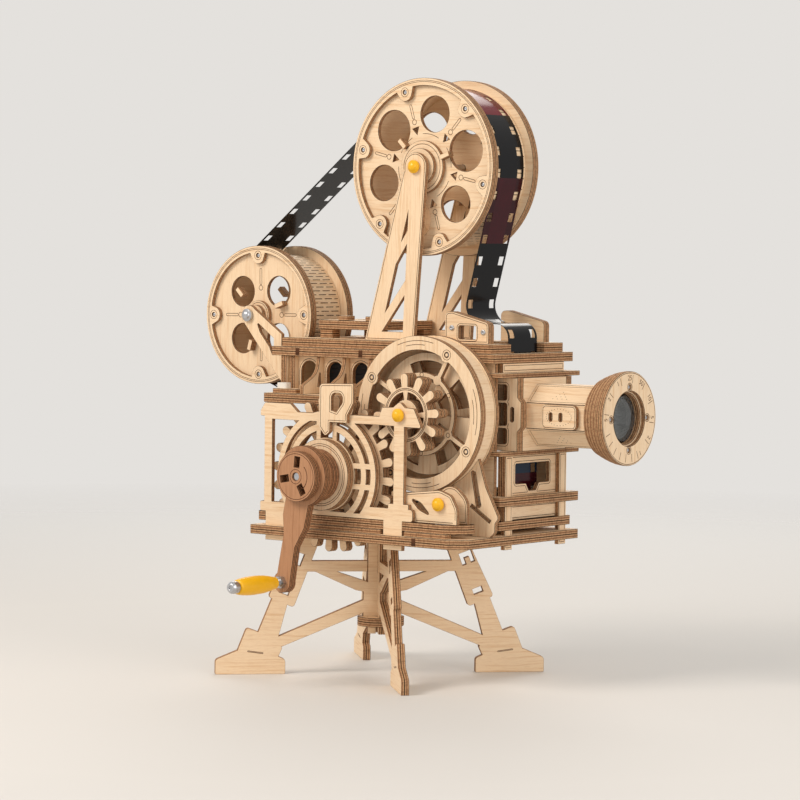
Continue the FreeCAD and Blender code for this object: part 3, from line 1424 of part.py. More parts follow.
def belt_loop(wheels, offset):
    """Return the closed outline of a band that runs clockwise round wheels of (x, z, radius, sense)."""
    grown = [(x, z, radius + offset * sense, sense) for x, z, radius, sense in wheels]
    runs = []
    for index, wheel in enumerate(grown):
        following = grown[(index + 1) % len(grown)]
        x0, z0, r0, s0 = wheel
        x1, z1, r1, s1 = following
        dx, dz = x1 - x0, z1 - z0
        distance = math.hypot(dx, dz)
        base = math.atan2(dz, dx)
        heading = base + math.asin((r0 * s0 - r1 * s1) / distance) * -1
        left = (-math.sin(heading), math.cos(heading))
        start = flat(x0 + left[0] * r0 * s0, z0 + left[1] * r0 * s0)
        end = flat(x1 + left[0] * r1 * s1, z1 + left[1] * r1 * s1)
        runs.append((start, end))
    edges = []
    for index, (start, end) in enumerate(runs):
        edges.append(Part.LineSegment(start, end))
        wheel = grown[(index + 1) % len(grown)]
        leave = runs[(index + 1) % len(runs)][0]
        centre = flat(wheel[0], wheel[1])
        a0 = math.atan2(end.y - centre.y, end.x - centre.x)
        a1 = math.atan2(leave.y - centre.y, leave.x - centre.x)
        if wheel[3] > 0:
            while a1 >= a0:
                a1 -= 2 * math.pi
        else:
            while a1 <= a0:
                a1 += 2 * math.pi
        middle = (a0 + a1) / 2
        through = centre + flat(math.cos(middle), math.sin(middle)) * wheel[2]
        edges.append(Part.Arc(end, through, leave))
    return edges


def film_wheels():
    """Return the wheels and guides that the film runs round, clockwise from the rear reel."""
    step = size("rim_step") - seat
    guide_level = roof_top + 9.6
    return [
        (rear_reel_x, rear_reel_z, size("rear_reel_radius") - step, 1),
        (top_reel_x, top_reel_z, size("top_reel_radius") - step, 1),
        (gate_x - 17.6, guide_level + 9.0, 9.0, -1),
        (gate_x - 7.0, guide_level - 7.0, 7.0, 1),
        (idler_x, idler_z, roller + seat, 1),
    ]


def film():
    """Make the film loop as one thin closed band."""
    wheels = film_wheels()
    outline = [belt_loop(wheels, size("film_thick")), belt_loop(wheels, 0.0)]
    sheet_part("film_loop", "XZ", [outline], thick="Sizes.film_width",
               where={"y": "Sizes.lens_y - Sizes.film_width / 2"})


film()


def drive_belt():
    """Make the rubber belt from the crank shaft to the film roller."""
    wheels = [(crank_x, crank_z, size("crank_pulley_radius") + seat, 1),
              (idler_x, idler_z, size("idler_pulley_radius") + seat, 1)]
    sheet_part("drive_belt", "XZ", [[belt_loop(wheels, 1.0), belt_loop(wheels, 0.0)]],
               thick=f"{belt_width - 1.0}", where={"y": f"{belt_y + 0.5}"})


drive_belt()


# check and write


def write_parts():
    """Check every object, then write each node to its own file."""
    doc.recompute()
    for item in doc.Objects:
        if "Invalid" in item.State or "Error" in item.State:
            raise RuntimeError(f"{item.Label} failed: {item.State}")
    os.makedirs("parts", exist_ok=True)
    for label, bodies in PARTS:
        for body in bodies:
            if body.Shape.isNull() or not body.Shape.isValid():
                raise RuntimeError(f"{label} has no valid shape")
        if len(bodies) == 1:
            shape = bodies[0].Shape
        else:
            holder = doc.addObject("Part::Compound", label)
            holder.Links = bodies
            doc.recompute()
            shape = holder.Shape
        shape.exportStep(f"parts/{label}.step")
        print(f"{label}: {len(shape.Solids)} solids, {shape.Volume:.1f} mm3")
    print(f"{len(PARTS)} nodes")


write_parts()
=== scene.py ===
"""Hand cranked film projector kit of laser cut plywood: the visual model on the CAD frame.

Lengths in this file are millimetres and angles are degrees, unless a comment says otherwise. The row
frame has +X towards the lens, +Y away from the crank and +Z up. Angles in an upright side plane run
from +X towards +Z.
"""

import json
import logging
import math
import random
from dataclasses import dataclass, field
from enum import Enum
from functools import cache

import bmesh
import bpy
import numpy as np
from mathutils import Matrix, Vector

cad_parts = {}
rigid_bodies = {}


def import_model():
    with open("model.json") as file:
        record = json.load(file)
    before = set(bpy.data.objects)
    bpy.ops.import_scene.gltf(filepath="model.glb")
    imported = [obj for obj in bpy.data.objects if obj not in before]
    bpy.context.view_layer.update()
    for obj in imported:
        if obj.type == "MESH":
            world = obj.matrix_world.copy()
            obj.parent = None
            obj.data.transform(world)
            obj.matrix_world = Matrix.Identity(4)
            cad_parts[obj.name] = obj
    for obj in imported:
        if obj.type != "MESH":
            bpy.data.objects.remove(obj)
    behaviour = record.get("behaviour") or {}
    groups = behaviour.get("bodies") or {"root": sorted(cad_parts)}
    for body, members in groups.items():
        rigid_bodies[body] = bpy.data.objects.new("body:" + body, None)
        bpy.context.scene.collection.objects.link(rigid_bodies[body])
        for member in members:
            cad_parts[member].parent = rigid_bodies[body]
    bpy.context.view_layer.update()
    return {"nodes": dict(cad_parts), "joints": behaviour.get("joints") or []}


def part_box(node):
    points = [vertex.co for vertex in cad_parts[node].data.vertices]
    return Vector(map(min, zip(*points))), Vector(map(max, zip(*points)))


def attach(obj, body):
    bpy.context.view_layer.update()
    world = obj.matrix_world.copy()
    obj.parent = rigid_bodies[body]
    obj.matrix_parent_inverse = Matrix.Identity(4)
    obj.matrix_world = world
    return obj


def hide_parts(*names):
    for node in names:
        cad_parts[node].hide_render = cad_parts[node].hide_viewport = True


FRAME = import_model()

MM = 0.001
PLY = 2.35
CHAMFER = 0.17
ROD_RADIUS = 2.0
BOARD_SHARP = 28
LOG = logging.getLogger("projector")

Loop = np.ndarray
Point = tuple[float, float]
Triple = tuple[float, float, float]
Piece = bpy.types.Object
Socket = bpy.types.NodeSocket
Faces = list[bmesh.types.BMFace]
Pair = tuple[float, float]
Numbers = tuple[float, ...]
Names = tuple[str, ...]


@dataclass(frozen=True)
class Plane:
    """How a board lies: the row directions of its own x, its own y, and out of its face."""

    x: Triple
    y: Triple
    z: Triple

    @property
    def basis(self) -> Matrix:
        """Matrix that takes a board's own coordinates to the row frame."""
        return Matrix((self.x, self.y, self.z)).transposed()

    @property
    def out(self) -> Vector:
        """Direction out of the board's face."""
        return Vector(self.z)

    @classmethod
    def upright(cls, degrees: float) -> "Plane":
        """An upright plane whose x is turned from +X about +Z."""
        c, s = math.cos(math.radians(degrees)), math.sin(math.radians(degrees))
        return cls((c, s, 0), (0, 0, 1), (s, -c, 0))

    @classmethod
    def along_x(cls, degrees: float) -> "Plane":
        """A plane along +X whose face points away from the X axis, turned from +Z towards -Y."""
        c, s = math.cos(math.radians(degrees)), math.sin(math.radians(degrees))
        return cls((1, 0, 0), (0, c, s), (0, -s, c))


class Lie(Enum):
    SIDE = Plane.upright(0)
    FLOOR = Plane((1, 0, 0), (0, 1, 0), (0, 0, 1))
    FRONT = Plane((0, 1, 0), (0, 0, 1), (1, 0, 0))
    LEG_LEFT_RIGHT = Plane.upright(47)
    LEG_FRONT_BACK = Plane.upright(-43)


SIDE = Lie.SIDE.value
FRONT = Lie.FRONT.value


def linear(hex_colour: str) -> tuple[float, float, float, float]:
    """Linear colour of an sRGB colour such as "e2c8a2"."""
    parts = [int(hex_colour[i : i + 2], 16) / 255 for i in (0, 2, 4)]
    return (*[p / 12.92 if p <= 0.04045 else ((p + 0.055) / 1.055) ** 2.4 for p in parts], 1.0)


def box_mm(node: str) -> tuple[Vector, Vector]:
    """Lowest and highest corner of a CAD node, in millimetres."""
    low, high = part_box(node)
    return low / MM, high / MM


def axis_mm(joint: str) -> Vector:
    """A joint's position in millimetres."""
    found = next(j for j in FRAME["joints"] if j["name"] == joint)
    return Vector(found["pos_m"]) / MM


def near_face(node: str) -> float:
    """Depth of a CAD node's face on the crank side, along the direction out of a side plane."""
    return -box_mm(node)[0].y


# Outlines


def circle(centre: Point, radius: float, steps: int = 72) -> Loop:
    """Points of a circle."""
    turn = np.arange(steps) * 2 * math.pi / steps
    return np.stack([centre[0] + radius * np.cos(turn), centre[1] + radius * np.sin(turn)], 1)


def rings(centre: Point, radii: "list[float] | Numbers", steps: int = 72) -> list[Loop]:
    """Circles about one centre."""
    return [circle(centre, radius, steps) for radius in radii]


def polar(centre: Point, radius: float, degrees: float) -> Point:
    """The point at a distance and angle from a centre."""
    angle = math.radians(degrees)
    return (centre[0] + radius * math.cos(angle), centre[1] + radius * math.sin(angle))


def arc(centre: Point, radius: float, start: float, end: float, steps: int = 24) -> Loop:
    """Points of an arc, both ends included."""
    return np.array([polar(centre, radius, a) for a in np.linspace(start, end, steps + 1)])


def lobed(centre: Point, radius: float, lobe: float, reach: float, angles: list[float]) -> Loop:
    """A round opening that gives way to round lobes.

    Args:
        centre: The opening's centre.
        radius: The opening's radius between the lobes.
        lobe: Radius of a lobe.
        reach: Distance of the lobes' centres.
        angles: Directions of the lobes.

    Returns:
        The opening's outline.
    """
    points = []
    for degrees in np.arange(0, 360, 1.5):
        r = radius
        for a in angles:
            delta = math.radians(degrees - a)
            inside = lobe**2 - (reach * math.sin(delta)) ** 2
            if inside > 0 and math.cos(delta) > 0:
                r = min(r, reach * math.cos(delta) - math.sqrt(inside))
        points.append(polar(centre, r, degrees))
    return np.array(points)


def slot(centre: Point, length: float, width: float, degrees: float = 0.0, steps: int = 8) -> Loop:
    """A slot with round ends, length measured over its ends.

    Args:
        centre: Its centre.
        length: Its length over its ends.
        width: Its width.
        degrees: Direction of its length.
        steps: Number of steps round each end.

    Returns:
        The slot's outline.
    """
    half = (length - width) / 2
    ends = [arc((half, 0), width / 2, -90, 90, steps), arc((-half, 0), width / 2, 90, 270, steps)]
    return moved(np.concatenate(ends), centre, degrees)


def rect(centre: Point, length: float, width: float, degrees: float = 0.0) -> Loop:
    """A rectangle about its centre."""
    x, y = length / 2, width / 2
    return moved(np.array([(-x, -y), (x, -y), (x, y), (-x, y)]), centre, degrees)


def moved(loop: Loop, by: Point, degrees: float = 0.0) -> Loop:
    """A loop turned about the origin and then moved."""
    c, s = math.cos(math.radians(degrees)), math.sin(math.radians(degrees))
    return loop @ np.array([(c, s), (-s, c)]) + np.array(by)


def area(loop: Loop) -> float:
    """Signed area, above zero where the loop runs anticlockwise."""
    x, y = loop[:, 0], loop[:, 1]
    return float(np.sum(x * np.roll(y, -1) - np.roll(x, -1) * y)) / 2


def largest(loops: list[Loop]) -> Loop:
    """The loop with the largest area."""
    return max(loops, key=lambda loop: abs(area(loop)))


def contains(loop: Loop, point: np.ndarray) -> bool:
    """Whether a point is inside a loop.

    Args:
        loop: The loop.
        point: The point.

    Returns:
        True where it is inside.
    """
    a, b = loop, np.roll(loop, -1, 0)
    crosses = (a[:, 1] > point[1]) != (b[:, 1] > point[1])
    with np.errstate(divide="ignore", invalid="ignore"):
        x = a[:, 0] + (point[1] - a[:, 1]) * (b[:, 0] - a[:, 0]) / (b[:, 1] - a[:, 1])
    return bool(np.sum(crosses & (point[0] < x)) % 2)


def straightened(loop: Loop) -> Loop:
    """The loop without the points that lie on a straight line between their neighbours.

    Args:
        loop: The loop.

    Returns:
        The loop's corners.
    """
    before, after = loop - np.roll(loop, 1, 0), np.roll(loop, -1, 0) - loop
    bend = np.abs(before[:, 0] * after[:, 1] - before[:, 1] * after[:, 0])
    size = np.linalg.norm(before, axis=1) * np.linalg.norm(after, axis=1)
    return loop[bend > 1e-3 * np.maximum(size, 1e-9)]


def oriented(loops: list[Loop]) -> list[Loop]:
    """The loops with outer ones anticlockwise and holes clockwise, so material is on their left.

    Args:
        loops: Outlines that don't cross.

    Returns:
        The same outlines in the same order.
    """
    turned = []
    for i, loop in enumerate(loops):
        depth = sum(contains(other, loop[0]) for j, other in enumerate(loops) if j != i)
        outer = depth % 2 == 0
        turned.append(loop if (area(loop) > 0) == outer else loop[::-1])
    return turned


def inset(loop: Loop, by: float) -> Loop:
    """The loop moved towards its left by a distance, with mitred corners.

    Args:
        loop: The loop.
        by: How far it moves.

    Returns:
        The moved loop, with as many points.
    """
    before, after = loop - np.roll(loop, 1, 0), np.roll(loop, -1, 0) - loop
    before /= np.maximum(np.linalg.norm(before, axis=1, keepdims=True), 1e-9)
    after /= np.maximum(np.linalg.norm(after, axis=1, keepdims=True), 1e-9)
    n0 = np.stack([-before[:, 1], before[:, 0]], 1)
    n1 = np.stack([-after[:, 1], after[:, 0]], 1)
    share = 1 + np.sum(n0 * n1, axis=1, keepdims=True)
    return loop + (n0 + n1) / np.maximum(share, 0.35) * by


# Meshes


class Carpenter:
    """Builds one wooden piece from boards, each with chamfered plies and a grain of its own."""

    def __init__(self, name: str) -> None:
        """Starts an empty piece.

        Args:
            name: Name of the piece, which also seeds its grain.
        """
        self.name = name
        self.bm = bmesh.new()
        self.board = self.bm.verts.layers.float_vector.new("board")
        self.random = random.Random(name)

    def add(self, loops: list[Loop], plane: Plane, low: float, high: float, plies: int = 0,
            chamfer: float = CHAMFER) -> None:
        """Adds a board.

        Args:
            loops: Outlines in the board's own x and y.
            plane: How the board lies.
            low: Its lower depth, along the direction out of its face.
            high: Its upper depth.
            plies: Number of plies, or 0 to work it out from the thickness.
            chamfer: Size of the burnt chamfer at each ply's edges.
        """
        loops = oriented([straightened(np.asarray(loop, float)) for loop in loops])
        plies = plies or max(1, round((high - low) / PLY))
        each = (high - low) / plies
        chamfer = min(chamfer, 0.3 * each)
        levels = [(low, chamfer)]
        for k in range(plies):
            start = low + k * each
            levels += [(start + chamfer, 0.0), (start + each - chamfer, 0.0), (start + each, chamfer)]
        spans = np.ptp(np.concatenate(loops), axis=0)
        along = 0 if spans[0] >= spans[1] else 1
        shift = Vector([self.random.uniform(-400, 400) for _ in range(2)] + [0])
        basis = plane.basis
        rings = []
        for depth, back in levels:
            ring = []
            for loop in loops:
                made = []
                for x, y in inset(loop, back) if back else loop:
                    vert = self.bm.verts.new(basis @ Vector((x, y, depth)) * MM)
                    grain = (x, y) if along == 0 else (y, x)
                    vert[self.board] = Vector((*grain, depth - low)) + shift
                    made.append(vert)
                ring.append(made)
            rings.append(ring)
        for lower, upper in zip(rings, rings[1:]):
            for a, b in zip(lower, upper):
                for i in range(len(a)):
                    j = (i + 1) % len(a)
                    self.bm.faces.new((a[i], a[j], b[j], b[i])).material_index = 1
        self._cap(rings[0], -plane.out)
        self._cap(rings[-1], plane.out)

    def _cap(self, ring: list[list[bmesh.types.BMVert]], normal: Vector) -> None:
        """Fills the flat face inside a ring of loops.

        Args:
            ring: The loops' corners.
            normal: Where the face looks.
        """
        edges = []
        for loop in ring:
            edges += [self.bm.edges.get((loop[i - 1], loop[i])) for i in range(len(loop))]
        made = bmesh.ops.triangle_fill(self.bm, use_beauty=True, edges=edges, normal=normal)
        for face in made["geom"]:
            if isinstance(face, bmesh.types.BMFace):
                face.material_index = 0
                if face.normal.dot(normal) < 0:
                    face.normal_flip()

    def build(self, finish: "Wood | Plain", body: str, nodes: Names = ()) -> None:
        """Makes the object, dresses it and puts it on its body.

        Args:
            finish: Finish of its faces and edges.
            body: Body that it rides on.
            nodes: CAD nodes that it stands for.
        """
        mesh = bpy.data.meshes.new(self.name)
        self.bm.to_mesh(mesh)
        self.bm.free()
        smoothed(mesh, BOARD_SHARP)
        obj = linked(self.name, mesh)
        mesh.materials.append(finish.face())
        mesh.materials.append(finish.edge())
        mounted(obj, body, nodes)


def smoothed(mesh: bpy.types.Mesh, degrees: float) -> None:
    """Shades a mesh smooth, with sharp edges where its faces meet at more than an angle."""
    mesh.shade_smooth()
    mesh.set_sharp_from_angle(angle=math.radians(degrees))


def linked(name: str, data: bpy.types.ID) -> Piece:
    """A new object of the scene with that data, its name never that of a CAD node.

    Args:
        name: Name of the object, or of the CAD node that it is like.
        data: Its mesh, curve, light or camera.

    Returns:
        The object.
    """
    obj = bpy.data.objects.new(f"{name}_shaped" if name in FRAME["nodes"] else name, data)
    bpy.context.scene.collection.objects.link(obj)
    return obj


def mounted(obj: Piece, body: str, nodes: Names = ()) -> None:
    """Puts an object on its body and the CAD nodes it stands for.

    Args:
        obj: The object.
        body: Name of the body.
        nodes: The CAD nodes.
    """
    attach(obj, body)
    if nodes:
        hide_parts(*nodes)
    LOG.info("%s on %s, %d faces", obj.name, body, len(obj.data.polygons))


def islands(bm: bmesh.types.BMesh) -> list[Faces]:
    """The separate parts of a mesh, each as its faces, in an order that is the same in each run.

    Args:
        bm: The mesh.

    Returns:
        The parts.
    """
    bm.faces.index_update()
    bm.verts.index_update()
    left = set(bm.faces)
    found = []
    while left:
        stack = [left.pop()]
        part = []
        while stack:
            face = stack.pop()
            part.append(face)
            near = {f for e in face.edges for f in e.link_faces} & left
            left -= near
            stack += near
        found.append(sorted(part, key=lambda face: face.index))
    return sorted(found, key=lambda part: part[0].index)


def loops_of(edges: list[bmesh.types.BMEdge], plane: Plane) -> list[Loop]:
    """Closed loops of cut edges, in the board's own coordinates.

    Args:
        edges: The cut edges.
        plane: Plane of the cut.

    Returns:
        The loops, the largest first.
    """
    inverse = plane.basis.inverted()
    left = set(edges)
    found = []
    while left:
        edge = left.pop()
        start, vert = edge.verts
        points = [start, vert]
        while vert != start:
            edge = next(e for e in vert.link_edges if e in left)
            left.remove(edge)
            vert = edge.other_vert(vert)
            points.append(vert)
        found.append(canonical(np.array([(inverse @ (v.co / MM))[:2] for v in points[:-1]])))
    return sorted(found, key=lambda loop: (-round(area(loop), 2), *loop[0].round(3)))


def canonical(loop: Loop) -> Loop:
    """The loop turning left from its leftmost point, whichever way the mesh gave it."""
    loop = loop if area(loop) > 0 else loop[::-1]
    return np.roll(loop, -np.lexsort((loop[:, 1].round(3), loop[:, 0].round(3)))[0], 0)


def merged_copy(node: str) -> bmesh.types.BMesh:
    """A copy of a CAD node's mesh, its loose triangles joined.

    Args:
        node: Name of the CAD node.

    Returns:
        The copy, which the caller frees.
    """
    bm = bmesh.new()
    bm.from_mesh(FRAME["nodes"][node].data)
    bmesh.ops.remove_doubles(bm, verts=bm.verts, dist=2e-6)
    return bm


@dataclass(frozen=True)
class Slab:
    """A level of a CAD part with one outline throughout."""

    loops: list[Loop]
    plane: Plane
    low: float
    high: float


def slabs(node: str) -> list[Slab]:
    """Reads a CAD node's boards from a merged copy of its mesh.

    Args:
        node: Name of the CAD node.

    Returns:
        For each separate part, its levels along its thinnest straight direction.
    """
    whole = merged_copy(node)
    found = []
    for part in islands(whole):
        total = sum(f.calc_area() for f in part)
        fits = []
        for lie in Lie:
            out = lie.value.out
            slanted = sum(f.calc_area() for f in part if 0.03 < abs(f.normal.dot(out)) < 0.999)
            depths = [v.co.dot(out) / MM for f in part for v in f.verts]
            if slanted < 0.002 * total:
                fits.append((round(max(depths) - min(depths), 3), lie.name, depths))
        if not fits:
            raise ValueError(f"{node} has a part that is no board")
        _, lie_name, depths = min(fits)
        found += levels_of(part, Lie[lie_name].value, sorted({round(d, 2) for d in depths}))
    whole.free()
    return found


def levels_of(part: Faces, plane: Plane, depths: list[float]) -> list[Slab]:
    """The slabs between the depths where a part's outline changes.

    Args:
        part: The part's faces.
        plane: The plane in which it lies.
        depths: The depths of its flat faces, in order.

    Returns:
        The slabs, from the lowest up.
    """
    single = bmesh.new()
    corners = sorted({v for f in part for v in f.verts}, key=lambda vert: vert.index)
    verts = {v: single.verts.new(v.co) for v in corners}
    for face in part:
        single.faces.new([verts[v] for v in face.verts])
    found = []
    for low, high in zip(depths, depths[1:]):
        cut = single.copy()
        whole, middle = cut.verts[:] + cut.edges[:] + cut.faces[:], plane.out * (low + high) / 2 * MM
        made = bmesh.ops.bisect_plane(cut, geom=whole, plane_co=middle, plane_no=plane.out)
        edges = [g for g in made["geom_cut"] if isinstance(g, bmesh.types.BMEdge)]
        loops = loops_of(edges, plane)
        cut.free()
        size = sum(abs(area(loop)) for loop in loops)
        if found and abs(sum(abs(area(loop)) for loop in found[-1].loops) - size) < 0.05:
            found[-1] = Slab(found[-1].loops, plane, found[-1].low, high)
        else:
            found.append(Slab(loops, plane, low, high))
    single.free()
    return found


def lathe(name: str, profile: list[Point], axis: Vector, at: Vector, steps: int = 48,
          round_by: float = 0.0) -> Piece:
    """Turns a profile about an axis.

    Args:
        name: Name of the object.
        profile: Closed profile as (distance along the axis, radius).
        axis: Direction of the axis in the row frame.
        at: Where distance 0 is.
        steps: Number of steps round the axis.
        round_by: Size by which the profile's corners are rounded.

    Returns:
        The object, without a material.
    """
    points = rounded(profile, round_by) if round_by else [Vector(p) for p in profile]
    turn = axis.to_track_quat("Z", "Y").to_matrix()
    bm = bmesh.new()
    rings = []
    for along, radius in points:
        if radius < 1e-3:
            rings.append([bm.verts.new((turn @ Vector((0, 0, along)) + at) * MM)] * steps)
            continue
        ring = []
        for k in range(steps):
            angle = 2 * math.pi * k / steps
            spot = Vector((radius * math.cos(angle), radius * math.sin(angle), along))
            ring.append(bm.verts.new((turn @ spot + at) * MM))
        rings.append(ring)
    closed = points[0][1] > 1e-3 or points[-1][1] > 1e-3
    pairs = list(zip(rings, rings[1:])) + ([(rings[-1], rings[0])] if closed else [])
    for a, b in pairs:
        for k in range(steps):
            j = (k + 1) % steps
            corners = list(dict.fromkeys((a[k], a[j], b[j], b[k])))
            if len(corners) > 2:
                bm.faces.new(corners)
    if bm.calc_volume(signed=True) < 0:
        bmesh.ops.reverse_faces(bm, faces=bm.faces)
    mesh = bpy.data.meshes.new(name)
    bm.to_mesh(mesh)
    bm.free()
    smoothed(mesh, 35)
    return linked(name, mesh)


def rounded(profile: list[Point], by: float, steps: int = 3) -> list[Vector]:
    """A profile whose corners are replaced by short curves.

    Args:
        profile: The profile's corners.
        by: Size of the curves.
        steps: Number of steps in each curve.

    Returns:
        The new profile.
    """
    points = []
    for i, p in enumerate(profile):
        here = Vector(p)
        if here.y < 1e-6:
            points.append(here)
            continue
        before, after = Vector(profile[i - 1]) - here, Vector(profile[(i + 1) % len(profile)]) - here
        size = min(by, before.length * 0.45, after.length * 0.45)
        a, b = here + before.normalized() * size, here + after.normalized() * size
        for k in range(steps + 1):
            t = k / steps
            points.append(a * (1 - t) ** 2 + here * 2 * t * (1 - t) + b * t * t)
    return points


# Nodes


class Graph:
    """A node tree that is built step by step."""

    def __init__(self, node_tree: bpy.types.NodeTree) -> None:
        """Starts from a node tree as it is."""
        self.node_tree = node_tree

    def add(self, kind: str, links: dict | None = None, **settings: object) -> bpy.types.Node:
        """Adds a node, with its settings, values and links.

        Args:
            kind: Type of the node.
            links: Sockets or values by the name or number of the input.
            settings: Values of the node's own properties.

        Returns:
            The node.
        """
        node = self.node_tree.nodes.new(kind)
        for key, value in settings.items():
            setattr(node, key, value)
        for key, source in (links or {}).items():
            self.put(node, key, source)
        return node

    def put(self, node: bpy.types.Node, key: str | int, source: object) -> None:
        """Links a socket to a node's input, or sets the input's value.

        Args:
            node: The node.
            key: Name or number of the input.
            source: The socket or the value.
        """
        if isinstance(source, Socket):
            self.node_tree.links.new(source, node.inputs[key])
        else:
            node.inputs[key].default_value = source


class Tree(Graph):
    """A Geometry Nodes tree with named inputs."""

    def __init__(self, name: str, inputs: dict[str, str]) -> None:
        """Starts a tree that takes a geometry and gives one.

        Args:
            name: Name of the tree.
            inputs: Type of each further input by its name.
        """
        super().__init__(bpy.data.node_groups.new(name, "GeometryNodeTree"))
        face = self.node_tree.interface
        face.new_socket("Geometry", in_out="INPUT", socket_type="NodeSocketGeometry")
        self.ids = {}
        for label, kind in inputs.items():
            made = face.new_socket(label, in_out="INPUT", socket_type=f"NodeSocket{kind}")
            self.ids[label] = made.identifier
        face.new_socket("Geometry", in_out="OUTPUT", socket_type="NodeSocketGeometry")
        self.input = self.add("NodeGroupInput")

    def value(self, label: str) -> Socket:
        """The tree's input of that name."""
        return self.input.outputs[label]

    def named(self, label: str, kind: str) -> Socket:
        """A named attribute of the geometry."""
        node = self.add("GeometryNodeInputNamedAttribute", {"Name": label}, data_type=kind)
        return node.outputs["Attribute"]

    def close(self, geometry: Socket, painted: "Socket | bool" = True) -> None:
        """Realises what was made, sets the material of what is painted and ends the tree.

        Args:
            geometry: What was made.
            painted: The faces that get the material.
        """
        real = self.add("GeometryNodeRealizeInstances", {"Geometry": geometry})
        inputs = {"Geometry": real.outputs[0], "Selection": painted, "Material": self.value("Material")}
        self.add("NodeGroupOutput", {0: self.add("GeometryNodeSetMaterial", inputs).outputs[0]})

    def run(self, obj: Piece, **values: object) -> None:
        """Runs the tree on an object and keeps the result as its plain mesh.

        Args:
            obj: The object, whose mesh is replaced.
            values: Values of the tree's inputs by name.
        """
        modifier = obj.modifiers.new("tree", "NODES")
        modifier.node_group = self.node_tree
        for label, value in values.items():
            modifier[self.ids[label]] = value
        evaluated = obj.evaluated_get(bpy.context.evaluated_depsgraph_get())
        mesh = bpy.data.meshes.new_from_object(evaluated)
        obj.modifiers.remove(modifier)
        obj.data = mesh


def scatter_tree() -> Tree:
    """Puts a small part on every point, turned by the attributes facing and spin.

    Returns:
        The tree.
    """
    tree = Tree("scatter", {"Part": "Object", "Size": "Float", "Material": "Material"})
    part = tree.add("GeometryNodeObjectInfo", {"Object": tree.value("Part")})
    away, angle = tree.named("facing", "FLOAT_VECTOR"), tree.named("spin", "FLOAT")
    facing = tree.add("FunctionNodeAlignRotationToVector", {"Vector": away}, axis="Z")
    spin = tree.add("FunctionNodeAxisAngleToRotation", {"Axis": (0, 0, 1), "Angle": angle})
    both = {"Rotation": facing.outputs[0], "Rotate By": spin.outputs[0]}
    turned = tree.add("FunctionNodeRotateRotation", both, rotation_space="LOCAL")
    size = tree.add("ShaderNodeCombineXYZ", {k: tree.value("Size") for k in "XYZ"})
    placed = tree.add("GeometryNodeInstanceOnPoints", {
        "Points": tree.value("Geometry"), "Instance": part.outputs["Geometry"],
        "Rotation": turned.outputs[0], "Scale": size.outputs[0],
    })
    tree.close(placed.outputs[0])
    return tree


def ribbon_tree() -> Tree:
    """Draws the mesh's edges, which lie in its own flat plane, as thin flat strips.

    Returns:
        The tree.
    """
    tree = Tree("ribbon", {"Width": "Float", "Height": "Float", "Material": "Material"})
    curve = tree.add("GeometryNodeMeshToCurve", {"Mesh": tree.value("Geometry")})
    upright = tree.add("GeometryNodeSetCurveNormal", {"Curve": curve.outputs[0]}, mode="Z_UP")
    sizes = {label: tree.value(label) for label in ("Width", "Height")}
    strip = tree.add("GeometryNodeCurvePrimitiveQuadrilateral", sizes)
    inputs = {"Curve": upright.outputs[0], "Profile Curve": strip.outputs[0], "Fill Caps": True}
    swept = tree.add("GeometryNodeCurveToMesh", inputs)
    tree.close(swept.outputs[0])
    return tree


def slit_tree() -> Tree:
    """Sinks the faces with the attribute slit by a depth, each on its own.

    Returns:
        The tree.
    """
    tree = Tree("slits", {"Depth": "Float", "Material": "Material"})
    slit = tree.named("slit", "BOOLEAN")
    inputs = {"Mesh": tree.value("Geometry"), "Selection": slit, "Offset Scale": tree.value("Depth")}
    sunk = tree.add("GeometryNodeExtrudeMesh", inputs | {"Individual": True})
    tree.close(sunk.outputs[0], slit)
    return tree


def film_tree() -> Tree:
    """Leaves out the faces with the attribute hole and gives the rest a thickness.

    Returns:
        The tree.
    """
    tree = Tree("film", {"Thickness": "Float", "Material": "Material"})
    inputs = {"Geometry": tree.value("Geometry"), "Selection": tree.named("hole", "BOOLEAN")}
    kept = tree.add("GeometryNodeDeleteGeometry", inputs, domain="FACE")
    inputs = {"Mesh": kept.outputs[0], "Offset Scale": tree.value("Thickness"), "Individual": False}
    raised = tree.add("GeometryNodeExtrudeMesh", inputs)
    under = tree.add("GeometryNodeFlipFaces", {"Mesh": kept.outputs[0]})
    both = tree.add("GeometryNodeJoinGeometry", {0: raised.outputs["Mesh"]})
    tree.put(both, 0, under.outputs[0])
    whole = tree.add("GeometryNodeMergeByDistance", {"Geometry": both.outputs[0], "Distance": 1e-6})
    tree.close(whole.outputs[0])
    return tree


SCATTER = scatter_tree()
RIBBON = ribbon_tree()
SLITS = slit_tree()
FILM = film_tree()


# Finishes


